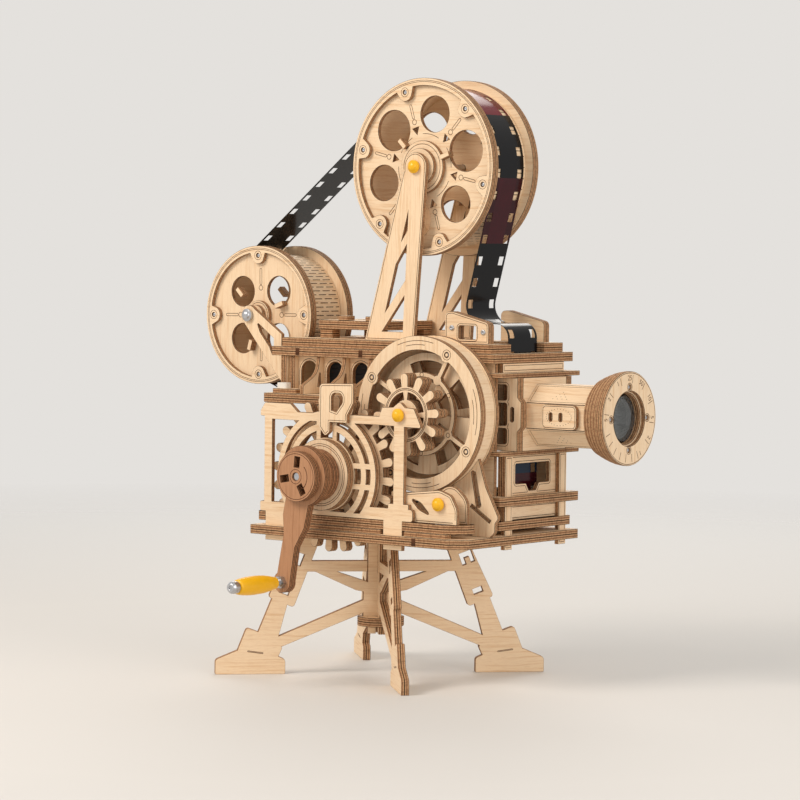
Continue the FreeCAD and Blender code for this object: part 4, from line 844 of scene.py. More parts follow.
class Shade(Graph):
    """A procedural node material."""

    def __init__(self, name: str) -> None:
        """Starts from a new material.

        Args:
            name: Name of the material.
        """
        self.material = bpy.data.materials.new(name)
        self.material.use_nodes = True
        super().__init__(self.material.node_tree)
        self.shader = self.node_tree.nodes["Principled BSDF"]

    def set(self, **values: object) -> None:
        """Sets or links the shader's own sockets, with _ for a space in their names."""
        for key, value in values.items():
            self.put(self.shader, key.replace("_", " "), value)

    def stretched(self, source: Socket, scale: Triple) -> Socket:
        """Coordinates scaled by axis."""
        return self.add("ShaderNodeMapping", {"Vector": source, "Scale": scale}).outputs[0]

    def noise(self, source: Socket, scale: float, detail: float = 3.0, rough: float = 0.5) -> Socket:
        """Noise from 0 to 1."""
        inputs = {"Vector": source, "Scale": scale, "Detail": detail, "Roughness": rough}
        return self.add("ShaderNodeTexNoise", inputs).outputs[0]

    def ramp(self, source: Socket, stops: list[tuple[float, str]], mode: str = "LINEAR") -> Socket:
        """Colours by value.

        Args:
            source: The value.
            stops: Places from 0 to 1 with their colours.
            mode: How colours between two stops are made.

        Returns:
            The colour.
        """
        node = self.add("ShaderNodeValToRGB", {0: source})
        node.color_ramp.interpolation = mode
        while len(node.color_ramp.elements) < len(stops):
            node.color_ramp.elements.new(0.5)
        for element, (at, tone) in zip(node.color_ramp.elements, stops):
            element.position = at
            element.color = linear(tone)
        return node.outputs[0]

    def mix(self, share: Socket, first: object, second: object) -> Socket:
        """A mix of two colours, each a socket or a value, with a share of the second."""
        return self.add("ShaderNodeMix", {0: share, 6: first, 7: second}, data_type="RGBA").outputs[2]

    def math(self, kind: str, first: "Socket | float", second: "Socket | float" = 0.0) -> Socket:
        """A sum on two values."""
        return self.add("ShaderNodeMath", {0: first, 1: second}, operation=kind).outputs[0]

    def bump(self, height: Socket, strength: float, distance: float) -> None:
        """Small relief, its distance in millimetres."""
        node = self.add("ShaderNodeBump", {"Height": height, "Strength": strength, "Distance": distance * MM})
        self.set(Normal=node.outputs[0])


@dataclass(frozen=True)
class Wood:
    """Laser cut plywood, with pale faces and burnt edges that show the plies."""

    name: str
    slot: str
    light: str
    deep: str
    streak: str
    burnt: str
    core: str
    veneer: str

    @cache
    def face(self) -> bpy.types.Material:
        """Material of the faces.

        Returns:
            The material.
        """
        shade = Shade(f"{self.name}_face")
        board = shade.add("ShaderNodeAttribute", attribute_name="board").outputs["Vector"]
        bent = shade.noise(shade.stretched(board, (0.02, 0.05, 0.02)), 1.0, 2.0)
        drift = shade.math("MULTIPLY", bent, 5.0)
        lifted = shade.add("ShaderNodeCombineXYZ", {"Y": drift}).outputs[0]
        warped = shade.add("ShaderNodeVectorMath", {0: board, 1: lifted}, operation="ADD").outputs[0]
        grain = shade.noise(shade.stretched(warped, (0.035, 0.9, 0.2)), 1.0, 5.0, 0.6)
        fibre = shade.noise(shade.stretched(warped, (0.25, 7.0, 1.0)), 1.0, 3.0, 0.65)
        cloud = shade.noise(shade.stretched(board, (0.012, 0.03, 0.02)), 1.0, 2.0)
        tone = shade.ramp(grain, [(0.34, self.deep), (0.5, self.light), (0.72, self.light)])
        tone = shade.mix(shade.math("MULTIPLY", cloud, 0.35), tone, linear(self.deep))
        lines = shade.ramp(fibre, [(0.36, "ffffff"), (0.47, "000000")])
        tone = shade.mix(shade.math("MULTIPLY", lines, 0.34), tone, linear(self.streak))
        shade.set(Base_Color=tone, Roughness=shade.math("ADD", shade.math("MULTIPLY", fibre, 0.15), 0.5))
        shade.set(Specular_IOR_Level=0.35)
        shade.bump(shade.math("ADD", shade.math("MULTIPLY", fibre, 0.7), grain), 0.25, 0.12)
        return shade.material

    @cache
    def edge(self) -> bpy.types.Material:
        """Material of the cut edges.

        Returns:
            The material.
        """
        shade = Shade(f"{self.name}_edge")
        board = shade.add("ShaderNodeAttribute", attribute_name="board").outputs["Vector"]
        depth = shade.add("ShaderNodeSeparateXYZ", {0: board}).outputs["Z"]
        share = shade.math("DIVIDE", shade.math("MODULO", depth, PLY), PLY)
        waver = shade.noise(shade.stretched(board, (0.5, 0.5, 0.0)), 1.0, 2.0)
        share = shade.math("ADD", share, shade.math("MULTIPLY", shade.math("SUBTRACT", waver, 0.5), 0.12))
        bands = shade.ramp(share, [
            (0.07, self.burnt), (0.15, self.veneer), (0.31, self.veneer), (0.37, self.core),
            (0.62, self.core), (0.68, self.veneer), (0.84, self.veneer), (0.93, self.burnt),
        ])
        speck = shade.noise(shade.stretched(board, (1.1, 1.1, 0.4)), 1.0, 4.0, 0.65)
        dots = shade.ramp(speck, [(0.36, "ffffff"), (0.56, "000000")])
        tone = shade.mix(shade.math("MULTIPLY", dots, 0.42), bands, linear(self.burnt))
        shade.set(Base_Color=tone, Roughness=0.72, Specular_IOR_Level=0.25)
        shade.bump(speck, 0.3, 0.15)
        return shade.material


PLYWOOD = Wood("plywood", "plywood", "f0d7b6", "e0bd95", "c3986c", "37200f", "8f6546", "c39a72")
# Plywood with painted shade: a darker, pinker copy of PLYWOOD. Its face and edge tones are the pale plywood
# as it looks in shade, and the crank's hub stack, arm and front disc get it.
SHADED_PLYWOOD = Wood(
    "dark_plywood", "dark_plywood", "b98a66", "a0714f", "86593b", "2b180c", "71482d", "a87a56"
)


@dataclass(frozen=True)
class Plain:
    """A plain finish with a little unevenness."""

    name: str
    slot: str
    tone: str
    rough: float
    metal: float = 0.0
    coat: float = 0.0
    through: float = 0.0
    uneven: float = 0.06
    relief: float = 0.0

    @cache
    def material(self) -> bpy.types.Material:
        """The material, for a board's faces and edges too.

        Returns:
            The material.
        """
        shade = Shade(self.name)
        where = shade.add("ShaderNodeTexCoord").outputs["Object"]
        spots = shade.noise(shade.stretched(where, (1 / MM,) * 3), 0.35, 3.0)
        dark = tuple(c * (1 - 2 * self.uneven) for c in linear(self.tone)[:3]) + (1.0,)
        shade.set(Base_Color=shade.mix(spots, linear(self.tone), dark), Metallic=self.metal)
        shade.set(Roughness=shade.math("ADD", shade.math("MULTIPLY", spots, self.uneven * 2), self.rough))
        shade.set(Coat_Weight=self.coat, Coat_Roughness=0.06, Transmission_Weight=self.through, IOR=1.5)
        if self.relief:
            fine = shade.noise(shade.stretched(where, (1 / MM,) * 3), 2.5, 3.0)
            shade.bump(fine, 0.4, self.relief)
        return shade.material

    face = edge = material

    def dress(self, obj: Piece, body: str, nodes: Names = ()) -> None:
        """Gives an object this finish and puts it on its body.

        Args:
            obj: The object.
            body: Body that it rides on.
            nodes: CAD nodes that it stands for.
        """
        obj.data.materials.clear()
        obj.data.materials.append(self.material())
        mounted(obj, body, nodes)


STEEL = Plain("plated_steel", "steel", "c4c6ca", 0.24, metal=1.0)
YELLOW = Plain("moulded_yellow", "yellow_plastic", "f6b900", 0.32, coat=0.1)
RUBBER = Plain("belt_rubber", "rubber", "1f1d1d", 0.6, relief=0.03)
GLASS = Plain("clear_glass", "glass", "eef4f4", 0.0, through=1.0, uneven=0.0)
BULB = Plain("milky_plastic", "lamp_plastic", "fbf6e6", 0.1, through=0.6, uneven=0.02)
BLACK = Plain("moulded_black", "black_plastic", "1c1c1f", 0.42, relief=0.02)
WHITE = Plain("moulded_white", "white_plastic", "ece8e0", 0.35)
CARD = Plain("blackened_card", "card_tube", "26211f", 0.7, relief=0.04)
SCORCH = Plain("scorch", "plywood", "5a3419", 0.9, uneven=0.2)


# Details


@dataclass
class Details:
    """Small parts of one kind that a tree puts at many places of one body."""

    name: str
    places: list[tuple[Vector, Vector, float]] = field(default_factory=list)

    def at(self, plane: Plane, spot: Point, depth: float, degrees: float = 0.0, back: bool = False) -> None:
        """Adds a place on a board, at a depth out of its face, turned and facing out or back."""
        facing = -plane.out if back else plane.out
        self.places.append((plane.basis @ Vector((*spot, depth)), facing, math.radians(degrees)))

    def build(self, part: Piece, finish: Plain, body: str, size: float) -> None:
        """Places the part everywhere and dresses the result.

        Args:
            part: The part that is placed.
            finish: Its finish.
            body: Body that the piece rides on.
            size: Scale of the part.
        """
        spots, facings, spins = zip(*self.places)
        mesh = bpy.data.meshes.new(self.name)
        mesh.from_pydata([spot * MM for spot in spots], [], [])
        facing = mesh.attributes.new("facing", "FLOAT_VECTOR", "POINT")
        facing.data.foreach_set("vector", [c for v in facings for c in v])
        mesh.attributes.new("spin", "FLOAT", "POINT").data.foreach_set("value", spins)
        obj = linked(self.name, mesh)
        SCATTER.run(obj, Part=part, Size=size, Material=finish.material())
        finish.dress(obj, body)


@dataclass
class Engraving:
    """Burnt lines on the faces of boards, drawn a hair proud of them."""

    name: str
    parts: list[bpy.types.Mesh] = field(default_factory=list)

    WIDTH = 0.3
    PROUD = 0.015

    def draw(self, lines: list[Loop], plane: Plane, depth: float, closed: bool = True,
             width: float = WIDTH) -> None:
        """Draws lines on the face at a depth along the direction out of a board's face.

        Args:
            lines: The lines.
            plane: Plane of the board.
            depth: Depth of its face.
            closed: Whether each line's end is joined to its start.
            width: Width of the lines.
        """
        verts, edges = [], []
        for line in lines:
            first = len(verts)
            verts += [Vector((x, y, 0.0)) * MM for x, y in np.asarray(line)]
            edges += [(i, i + 1) for i in range(first, len(verts) - 1)]
            if closed:
                edges.append((len(verts) - 1, first))
        mesh = bpy.data.meshes.new(f"{self.name}_lines")
        mesh.from_pydata(verts, edges, [])
        drawn = linked(f"{self.name}_lines", mesh)
        RIBBON.run(drawn, Width=width * MM, Height=2 * self.PROUD * MM, Material=SCORCH.material())
        place = plane.basis.to_4x4()
        place.translation = plane.out * depth * MM
        drawn.data.transform(place)
        self.parts.append(drawn.data)
        bpy.data.objects.remove(drawn)

    def stamp(self, text: str, size: float, spot: Point, degrees: float, plane: Plane, depth: float) -> None:
        """Burns a number into a face, upright at 0 degrees.

        Args:
            text: The number.
            size: Its size.
            spot: Its centre.
            degrees: Its turn in the plane.
            plane: Plane of the board.
            depth: Depth of its face.
        """
        data = bpy.data.curves.new(text, "FONT")
        data.body = text
        data.size = size * MM
        data.align_x = "CENTER"
        data.align_y = "CENTER"
        data.extrude = self.PROUD * MM
        written = linked(text, data)
        bpy.context.view_layer.update()
        mesh = bpy.data.meshes.new_from_object(written.evaluated_get(bpy.context.evaluated_depsgraph_get()))
        bpy.data.objects.remove(written)
        place = (plane.basis @ Matrix.Rotation(math.radians(degrees), 3, "Z")).to_4x4()
        place.translation = plane.basis @ Vector((*spot, depth)) * MM
        mesh.transform(place)
        self.parts.append(mesh)

    def build(self, body: str) -> None:
        """Joins the lines into one piece on its body.

        Args:
            body: Body that it rides on.
        """
        bm = bmesh.new()
        for mesh in self.parts:
            bm.from_mesh(mesh)
        mesh = bpy.data.meshes.new(self.name)
        bm.to_mesh(mesh)
        bm.free()
        SCORCH.dress(linked(self.name, mesh), body)


def boards(name: str, body: str, *nodes: str, finish: "Wood | Plain" = PLYWOOD, chamfer: float = CHAMFER,
           extra: tuple[Loop, ...] = ()) -> None:
    """Rebuilds the boards of CAD nodes as one wooden piece.

    Args:
        name: Name of the piece.
        body: Body that it rides on.
        nodes: CAD nodes that it stands for.
        finish: Finish of its faces and edges.
        chamfer: Size of the chamfer at each ply's edges.
        extra: Further holes through its boards.
    """
    piece = Carpenter(name)
    for node in nodes:
        for slab in slabs(node):
            piece.add([*slab.loops, *extra], slab.plane, slab.low, slab.high, chamfer=chamfer)
    piece.build(finish, body, nodes)


def copies(body: str, *nodes: str, finish: "Wood | Plain" = PLYWOOD) -> None:
    """Rebuilds each of some CAD nodes as a wooden piece of the same name."""
    for node in nodes:
        boards(node, body, node, finish=finish)


def rims(slab: Slab, by: float, least: float = 0.0, most: float = 1e9, holes: bool = True) -> list[Loop]:
    """Lines that follow a board's outlines at a distance, where they stay on its face.

    Args:
        slab: The board.
        by: Distance from the outlines.
        least: Smallest area of an outline that is followed.
        most: Largest area of an outline that is followed.
        holes: Whether holes are followed too, and not only the outside.

    Returns:
        Open or closed lines; a closed one ends on its first point.
    """
    loops = oriented([straightened(loop) for loop in slab.loops])
    starts = np.concatenate(loops)
    ends = np.concatenate([np.roll(loop, -1, 0) for loop in loops])
    lines = []
    for loop in loops:
        if not least <= abs(area(loop)) <= most or (area(loop) < 0 and not holes):
            continue
        line = inset(refined(loop, 2.0), by)
        gaps = nearest(line, starts, ends)
        inside = np.array([sum(contains(other, p) for other in loops) % 2 == 1 for p in line])
        good = (gaps > 0.96 * by) & inside
        lines += runs(line, good)
    return lines


def refined(loop: Loop, step: float) -> Loop:
    """The loop with points added so that none are further apart than a step.

    Args:
        loop: The loop.
        step: The longest distance.

    Returns:
        The loop with more points.
    """
    points = []
    for a, b in zip(loop, np.roll(loop, -1, 0)):
        count = max(1, math.ceil(float(np.linalg.norm(b - a)) / step))
        points += [a + (b - a) * k / count for k in range(count)]
    return np.array(points)


def nearest(points: Loop, starts: Loop, ends: Loop) -> np.ndarray:
    """Each point's distance from the nearest of some segments.

    Args:
        points: The points.
        starts: Where the segments start.
        ends: Where they end.

    Returns:
        A distance for each point.
    """
    along = ends - starts
    size = np.maximum(np.sum(along**2, 1), 1e-12)
    away = points[:, None, :] - starts[None]
    share = np.clip(np.sum(away * along[None], 2) / size, 0, 1)
    return np.min(np.linalg.norm(away - share[..., None] * along[None], axis=2), axis=1)


def runs(line: Loop, good: np.ndarray) -> list[Loop]:
    """The stretches of a closed line whose points are good.

    Args:
        line: The closed line.
        good: Whether each of its points is good.

    Returns:
        Lines that end where a bad point follows; a whole line ends on its first point.
    """
    if good.all():
        return [np.concatenate([line, line[:1]])]
    if not good.any():
        return []
    first = int(np.argmin(good))
    line, good = np.roll(line, -first, 0), np.roll(good, -first)
    found, current = [], []
    for point, fine in zip(line, good):
        if fine:
            current.append(point)
        elif current:
            found.append(current)
            current = []
    if current:
        found.append(current)
    return [np.array(run) for run in found if len(run) > 2]


# Small parts


def small_part(name: str, profile: list[Point], steps: int, round_by: float = 0.0) -> Piece:
    """Turns a part that trees place, and keeps it out of the scene.

    Args:
        name: Name of the part.
        profile: Closed profile as (height, radius).
        steps: Number of steps round it.
        round_by: Size by which its edges are rounded.

    Returns:
        The part.
    """
    part = lathe(name, profile, Vector((0, 0, 1)), Vector((0, 0, 0)), steps, round_by)
    bpy.context.scene.collection.objects.unlink(part)
    return part


@cache
def screw_head(radius: float = 1.7, height: float = 0.9, socket: float = 0.42) -> Piece:
    """A low screw head with a socket, its underside at 0 and its top up.

    Args:
        radius: Radius of the head.
        height: Its height.
        socket: Radius of the socket as a share of the head's.

    Returns:
        The screw head.
    """
    floor, bore = height * 0.35, radius * socket
    profile = [
        (-0.2, 0.0), (-0.2, radius), (height * 0.55, radius), (height, radius * 0.72),
        (height, bore), (floor, bore), (floor, 0.0),
    ]
    return small_part("screw", profile, 20, 0.15)


@cache
def burnt_dot(radius: float = 0.3, proud: float = 0.02) -> Piece:
    """A burnt dot, a hair proud of the face."""
    profile = [(-proud, 0.0), (-proud, radius), (proud, radius), (proud, 0.0)]
    return small_part("dot", profile, 10)


def bent_wall(name: str, body: str, slits: "Kerf | None" = None) -> None:
    """Rebuilds a kerf bent wall, a tube about an axis along Y.

    Args:
        name: Name of the piece and of the CAD node that it stands for.
        body: Body that it rides on.
        slits: The kerf slits in its outside, if it has them.
    """
    (slab,) = slabs(name)
    outer, inner = sorted(slab.loops, key=lambda loop: -abs(area(loop)))
    middle = tuple((outer.max(0) + outer.min(0)) / 2)
    radius, bore = np.ptp(outer[:, 0]) / 2, np.ptp(inner[:, 0]) / 2
    slits = slits or Kerf(rows=60, length=0.0)
    turns, marks = slits.rows_of(radius)
    depths, cuts = slits.columns_of(slab.low, slab.high)
    levels = [slab.low, slab.low + CHAMFER] + depths + [slab.high - CHAMFER, slab.high]
    bm = bmesh.new()
    board = bm.verts.layers.float_vector.new("board")
    slit = bm.faces.layers.bool.new("slit")
    basis = SIDE.basis

    def ring(r: float, depth: float) -> list[bmesh.types.BMVert]:
        """Adds the corners at one radius and depth.

        Args:
            r: The radius.
            depth: The depth.

        Returns:
            The corners.
        """
        made = []
        for turn in turns:
            x, y = polar(middle, r, turn)
            vert = bm.verts.new(basis @ Vector((x, y, depth)) * MM)
            vert[board] = (depth, math.radians(turn) * radius, 0.0)
            made.append(vert)
        return made

    rings = []
    for i, depth in enumerate(levels):
        back = CHAMFER if i in (0, len(levels) - 1) else 0.0
        rings.append(ring(radius - back, depth))
    rings += [ring(bore, slab.high), ring(bore, slab.low)]
    inside = len(levels)
    for i, lower in enumerate(rings):
        upper = rings[(i + 1) % len(rings)]
        for k in range(len(turns)):
            j = (k + 1) % len(turns)
            made = bm.faces.new((lower[k], lower[j], upper[j], upper[k]))
            outside = 1 <= i < inside - 2
            made.material_index = 0 if outside or i == inside else 1
            sunk = outside and marks[k] is not None and i in cuts[marks[k] % 2]
            made[slit] = sunk
    mesh = bpy.data.meshes.new(name)
    bmesh.ops.recalc_face_normals(bm, faces=bm.faces)
    bm.to_mesh(mesh)
    bm.free()
    mesh.materials.append(PLYWOOD.face())
    mesh.materials.append(PLYWOOD.edge())
    obj = linked(name, mesh)
    if slits.length:
        SLITS.run(obj, Depth=-slits.depth * MM, Material=SCORCH.material())
    smoothed(obj.data, BOARD_SHARP)
    mounted(obj, body, (name,))


@dataclass(frozen=True)
class Kerf:
    """Rows of slits along the axis, every other row shifted by half a pitch."""

    rows: int = 90
    width: float = 0.42
    length: float = 6.0
    pitch: float = 8.1
    depth: float = 1.1

    def rows_of(self, radius: float) -> tuple[list[float], list[int | None]]:
        """Angles of the grid lines round a wall, and for each cell after one the row whose slit it is.

        Args:
            radius: Radius of the wall.

        Returns:
            The angles and the rows.
        """
        share = math.degrees(self.width / radius)
        turns, marks = [], []
        for row in range(self.rows):
            start = row * 360 / self.rows
            turns += [start, start + share]
            marks += [row, None]
        return turns, marks

    def columns_of(self, low: float, high: float) -> tuple[list[float], list[set[int]]]:
        """Depths of the slits' ends, and for even and odd rows the cells that are slits.

        Args:
            low: Depth of the wall's one end.
            high: Depth of the other.

        Returns:
            The depths and the cells.
        """
        if not self.length:
            return [], [set(), set()]
        spans = []
        for shift in (0.0, 0.5):
            middles = np.arange(low + (shift + 0.1) * self.pitch, high + self.pitch, self.pitch)
            ends = [(m - self.length / 2, m + self.length / 2) for m in middles]
            kept = [(a, b) for a, b in ends if b > low + 2 and a < high - 2]
            spans.append([(max(a, low + 1), min(b, high - 1)) for a, b in kept])
        marks = sorted({round(v, 4) for span in spans for pair in span for v in pair})
        cuts = []
        for span in spans:
            cells = {i for i, a in enumerate(marks[:-1]) if any(s - 1e-3 <= a < e - 1e-3 for s, e in span)}
            cuts.append({i + 2 for i in cells})
        return marks, cuts


# Turned pieces


@dataclass(frozen=True)
class Spindle:
    """An axis on one body, and what is turned about it."""

    body: str
    axis: Vector
    at: Vector

    @classmethod
    def across(cls, body: str, spot: Point) -> "Spindle":
        """A spindle along +Y through a place given as (X, Z)."""
        return cls(body, Vector((0, 1, 0)), Vector((spot[0], 0, spot[1])))

    @classmethod
    def forward(cls, body: str, spot: Point) -> "Spindle":
        """A spindle along +X through a place given as (Y, Z)."""
        return cls(body, Vector((1, 0, 0)), Vector((0, *spot)))

    def turn(self, name: str, profile: list[Point], finish: Plain, *nodes: str, steps: int = 32,
             round_by: float = 0.0) -> None:
        """Turns a closed profile of (distance along the axis, radius) and dresses the piece."""
        finish.dress(lathe(name, profile, self.axis, self.at, steps, round_by), self.body, nodes)

    def rod(self, name: str, start: float, end: float, *nodes: str, steps: int = 24,
            round_by: float = 0.0) -> None:
        """Turns a steel rod of the usual radius from a start to an end along the axis."""
        profile = [(start, 0), (start, ROD_RADIUS), (end, ROD_RADIUS), (end, 0)]
        self.turn(name, profile, STEEL, *nodes, steps=steps, round_by=round_by)


@dataclass(frozen=True)
class Cap:
    """A push-on cap with a collar and a domed end."""

    radius: float = 3.3
    length: float = 3.5
    dome: float = 1.7
    dome_radius: float = 2.5
    edge: float = 0.3
    closed: float = 1.2

    def profile(self, tip: float, way: int) -> list[Point]:
        """Its profile from the tip back.

        Args:
            tip: Where its tip is along the axis.
            way: 1 where it opens in the axis's direction, or -1.

        Returns:
            The closed profile.
        """
        turns = np.linspace(math.pi / 2, 0.2, 7)[1:]
        outline = [(0.0, 0.0)]
        outline += [(self.dome - self.dome * math.sin(t), self.dome_radius * math.cos(t)) for t in turns]
        outline += [
            (self.dome, self.radius - self.edge), (self.dome + self.edge, self.radius),
            (self.length - self.edge, self.radius), (self.length, self.radius - self.edge),
            (self.length, ROD_RADIUS), (self.closed, ROD_RADIUS), (self.closed, 0.0),
        ]
        return [(tip + way * along, radius) for along, radius in outline]


@dataclass(frozen=True)
class BeltWheel:
    """A wooden belt wheel: two cheeks with a smaller core between them, which takes the belt."""

    core: float = 1.15
    cheek: float = 1.1
    groove: float = 1.1
    play: float = 0.05

    def build(self, name: str, body: str, spot: Point, rim: float) -> None:
        """Makes a wheel in line with the drive belt.

        Args:
            name: Name of the piece.
            body: Body that it rides on.
            spot: Its axis as (X, Z).
            rim: Radius of its cheeks.
        """
        low, high = box_mm("drive_belt")
        middle = -(low.y + high.y) / 2
        piece = Carpenter(name)
        hole = circle(spot, ROD_RADIUS + self.play, 24)
        for way in (-1, 1):
            ends = sorted((middle + way * self.core, middle + way * (self.core + self.cheek)))
            piece.add([circle(spot, rim), hole], SIDE, *ends, 1)
        piece.add([circle(spot, rim - self.groove), hole], SIDE, middle - self.core, middle + self.core, 1)
        piece.build(PLYWOOD, body)


def bulge(start: float, height: float, radius: float, steps: int, first: float = 0.15) -> list[Point]:
    """Points of a dome from its face to its top on the axis, the first at an angle in radians."""
    turns = np.linspace(first, math.pi / 2, steps)
    return [(start + height * math.sin(t), radius * math.cos(t)) for t in turns]


def smooth_profile(points: list[Point], steps: int = 4) -> list[Point]:
    """A smooth line through points.

    Args:
        points: The points that it goes through.
        steps: Number of steps from each point to the next.

    Returns:
        The line's points.
    """
    made = []
    for i in range(len(points) - 1):
        p0, p1 = Vector(points[max(i - 1, 0)]), Vector(points[i])
        p2, p3 = Vector(points[i + 1]), Vector(points[min(i + 2, len(points) - 1)])
        for k in range(steps):
            t = k / steps
            square = (p0 * 2 - p1 * 5 + p2 * 4 - p3) * t * t
            cube = (p1 * 3 - p0 - p2 * 3 + p3) * t**3
            made.append(tuple((p1 * 2 + (p2 - p0) * t + square + cube) / 2))
    return made + [tuple(points[-1])]


# Sub-assemblies


@dataclass
class Stand:
    """Two crossed leg frames and the disc under their hub."""

    mark_reach: float = 65.0
    mark_height: float = 11.3
    mark_length: float = 8.0
    mark_width: float = 0.5
    mark_tilt: float = 8.0
    thickness: float = 4.0

    def build(self) -> None:
        """Makes the legs, the disc and the slits in the feet."""
        boards("leg_frames", "projector", "leg_frame_left_right", "leg_frame_front_back")
        copies("projector", "leg_hub_disc")
        lines = []
        for side in (-1, 1):
            place = (side * self.mark_reach, self.mark_height)
            lines.append(slot(place, self.mark_length, self.mark_width, side * self.mark_tilt))
        marks = Engraving("foot_marks")
        for lie in (Lie.LEG_LEFT_RIGHT, Lie.LEG_FRONT_BACK):
            for face in (-self.thickness / 2, self.thickness / 2):
                marks.draw(lines, lie.value, face)
        marks.build("projector")


@dataclass
class Base:
    """The two base plates with the blocks between them."""

    plates: Names = ("base_lower_plate", "base_upper_plate")

    def build(self) -> None:
        """Makes the plates and the blocks."""
        boards("base_plates", "projector", *self.plates)
        copies("projector", "base_spacers")


@dataclass
class CrankSide:
    """The open side frame with what is fixed to it."""

    line_inset: float = 1.0
    disc_rings: Numbers = (15.6, 14.6)

    def build(self) -> None:
        """Makes the frame, the hook, the bearing disc and the cheeks, with their burnt lines."""
        copies("projector", "crank_side_frame", "crank_bearing_disc", "hook_bracket", "idler_bracket")
        lines = Engraving("crank_side_lines")
        for node, holes in (("hook_bracket", True), ("idler_bracket", False)):
            for slab in slabs(node):
                lines.draw(rims(slab, self.line_inset, holes=holes), SIDE, slab.high, closed=False)
        lines.draw(rings(axis_mm("crank_turn").xz, self.disc_rings), SIDE, near_face("crank_bearing_disc"))
        lines.build("projector")


@dataclass
class GearTrain:
    """The crank gear and the two small gears on the shutter shaft."""

    pinion_rings: Numbers = (12.4, 13.1)
    pinion_line: float = 0.35
    gear_rings: Numbers = (26.8, 30.6)

    def build(self) -> None:
        """Makes the gears and the burnt rings on them."""
        copies("crank", "crank_gear")
        copies("shutter", "pinions")
        self.mark("pinion_rings", "shutter", "pinions", self.pinion_rings, self.pinion_line)
        self.mark("gear_rings", "crank", "crank_gear", self.gear_rings, Engraving.WIDTH)

    def mark(self, name: str, body: str, node: str, radii: Numbers, width: float) -> None:
        """Burns rings round a gear's axis into its near face.

        Args:
            name: Name of the piece that the rings make.
            body: Body that it rides on.
            node: CAD node of the gear.
            radii: Radii of the rings.
            width: Width of their lines.
        """
        lines = Engraving(name)
        lines.draw(rings(axis_mm(f"{body}_turn").xz, radii), SIDE, near_face(node), width=width)
        lines.build(body)


@dataclass
class Crank:
    """The hand crank: shaft, hub, arm, front disc, and the turned grip on its screw.

    The grip's curve holds shares of its length from the arm, each with a share of its radius.
    """

    hub_chamfer: float = 0.45
    disc_rings: Numbers = (11.4, 3.6)
    arrow_reach: float = 7.4
    arrow_ends: Pair = (-48.0, 44.0)
    arrow_tip: float = -52.0
    barb_length: float = 2.2
    barb_angles: Pair = (150.0, 45.0)
    arrow_line: float = 0.4
    screw: float = 1.5
    head_radius: float = 3.1
    head_top: float = 2.1
    head_round: float = 1.4
    head_gap: float = 0.5
    socket: float = 0.9
    back_head: float = 1.6
    back_radius: float = 2.6
    nut_radius: float = 3.3
    nut_height: float = 2.4
    edge: float = 0.3
    grip_radius: float = 4.7
    grip_curve: tuple[Point, ...] = (
        (0.0, 0.52), (0.03, 0.66), (0.1, 0.72), (0.2, 0.84), (0.35, 0.95), (0.52, 0.995),
        (0.62, 1.0), (0.75, 0.975), (0.87, 0.91), (0.95, 0.83), (0.985, 0.76), (1.0, 0.62),
    )

    def build(self) -> None:
        """Makes the crank and dresses it."""
        # The hub stack, arm and front disc get the copy of the plywood with painted shade in its tones.
        boards("crank_hub_stack", "crank", "crank_hub_stack", finish=SHADED_PLYWOOD, chamfer=self.hub_chamfer)
        copies("crank", "crank_arm", "crank_front_disc", finish=SHADED_PLYWOOD)
        self.marks()
        self.shaft_and_wheel()
        self.screw_and_nut()
        self.grip()

    def marks(self) -> None:
        """The engraved rings and turning arrow of the front disc."""
        spot = axis_mm("crank_turn").xz
        face = near_face("crank_front_disc")
        lines = Engraving("crank_disc_lines")
        lines.draw(rings(spot, self.disc_rings), SIDE, face)
        tip = polar(spot, self.arrow_reach, self.arrow_tip)
        first, second = (polar(tip, self.barb_length, angle) for angle in self.barb_angles)
        for line in (arc(spot, self.arrow_reach, *self.arrow_ends), np.array([first, tip, second])):
            lines.draw([line], SIDE, face, closed=False, width=self.arrow_line)
        lines.build("crank")

    def shaft_and_wheel(self) -> None:
        """The steel shaft and the grooved belt wheel."""
        low, high = box_mm("crank_shaft")
        spot = axis_mm("crank_turn").xz
        spindle = Spindle.across("crank", spot)
        spindle.rod("crank_shaft", low.y, high.y, "crank_shaft", steps=32, round_by=self.edge)
        BeltWheel().build("crank_belt_wheel", "crank", spot, (high.x - low.x) / 2)

    @property
    def grip_spot(self) -> Point:
        """The grip's axis as (X, Z)."""
        low, high = box_mm("handle_axle")
        return ((low.x + high.x) / 2, (low.z + high.z) / 2)

    def screw_and_nut(self) -> None:
        """The screw that the grip turns on, with its head at the grip's end and its nut at the arm."""
        low, high = box_mm("handle_axle")
        grip_end = box_mm("handle_grip")[0].y
        face = box_mm("crank_arm")[0].y
        back = high.y - self.back_head
        profile = [
            (high.y, 0), (high.y, self.back_radius), (back, self.back_radius), (back, self.screw),
            (grip_end - self.edge, self.screw), (grip_end - self.head_gap, self.head_radius),
            (low.y + self.head_round, self.head_radius - 0.05), (low.y, self.head_top), (low.y, self.socket),
            (low.y + self.socket, self.socket), (low.y + self.socket, 0),
        ]
        spindle = Spindle.across("crank", self.grip_spot)
        spindle.turn("handle_screw", profile, STEEL, "handle_axle", round_by=self.edge)
        outer = face - self.nut_height
        nut = [(face, self.screw), (face, self.nut_radius), (outer, self.nut_radius), (outer, self.screw)]
        spindle.turn("handle_nut", nut, STEEL, steps=6)

    def grip(self) -> None:
        """The yellow grip."""
        low, high = box_mm("handle_grip")
        length = high.y - low.y
        outside = smooth_profile([(high.y - length * t, self.grip_radius * w) for t, w in self.grip_curve])
        bore = self.screw + self.edge
        profile = outside + [(low.y, bore), (high.y, bore)]
        Spindle.across("grip", self.grip_spot).turn("handle_grip", profile, YELLOW, "handle_grip", steps=48)


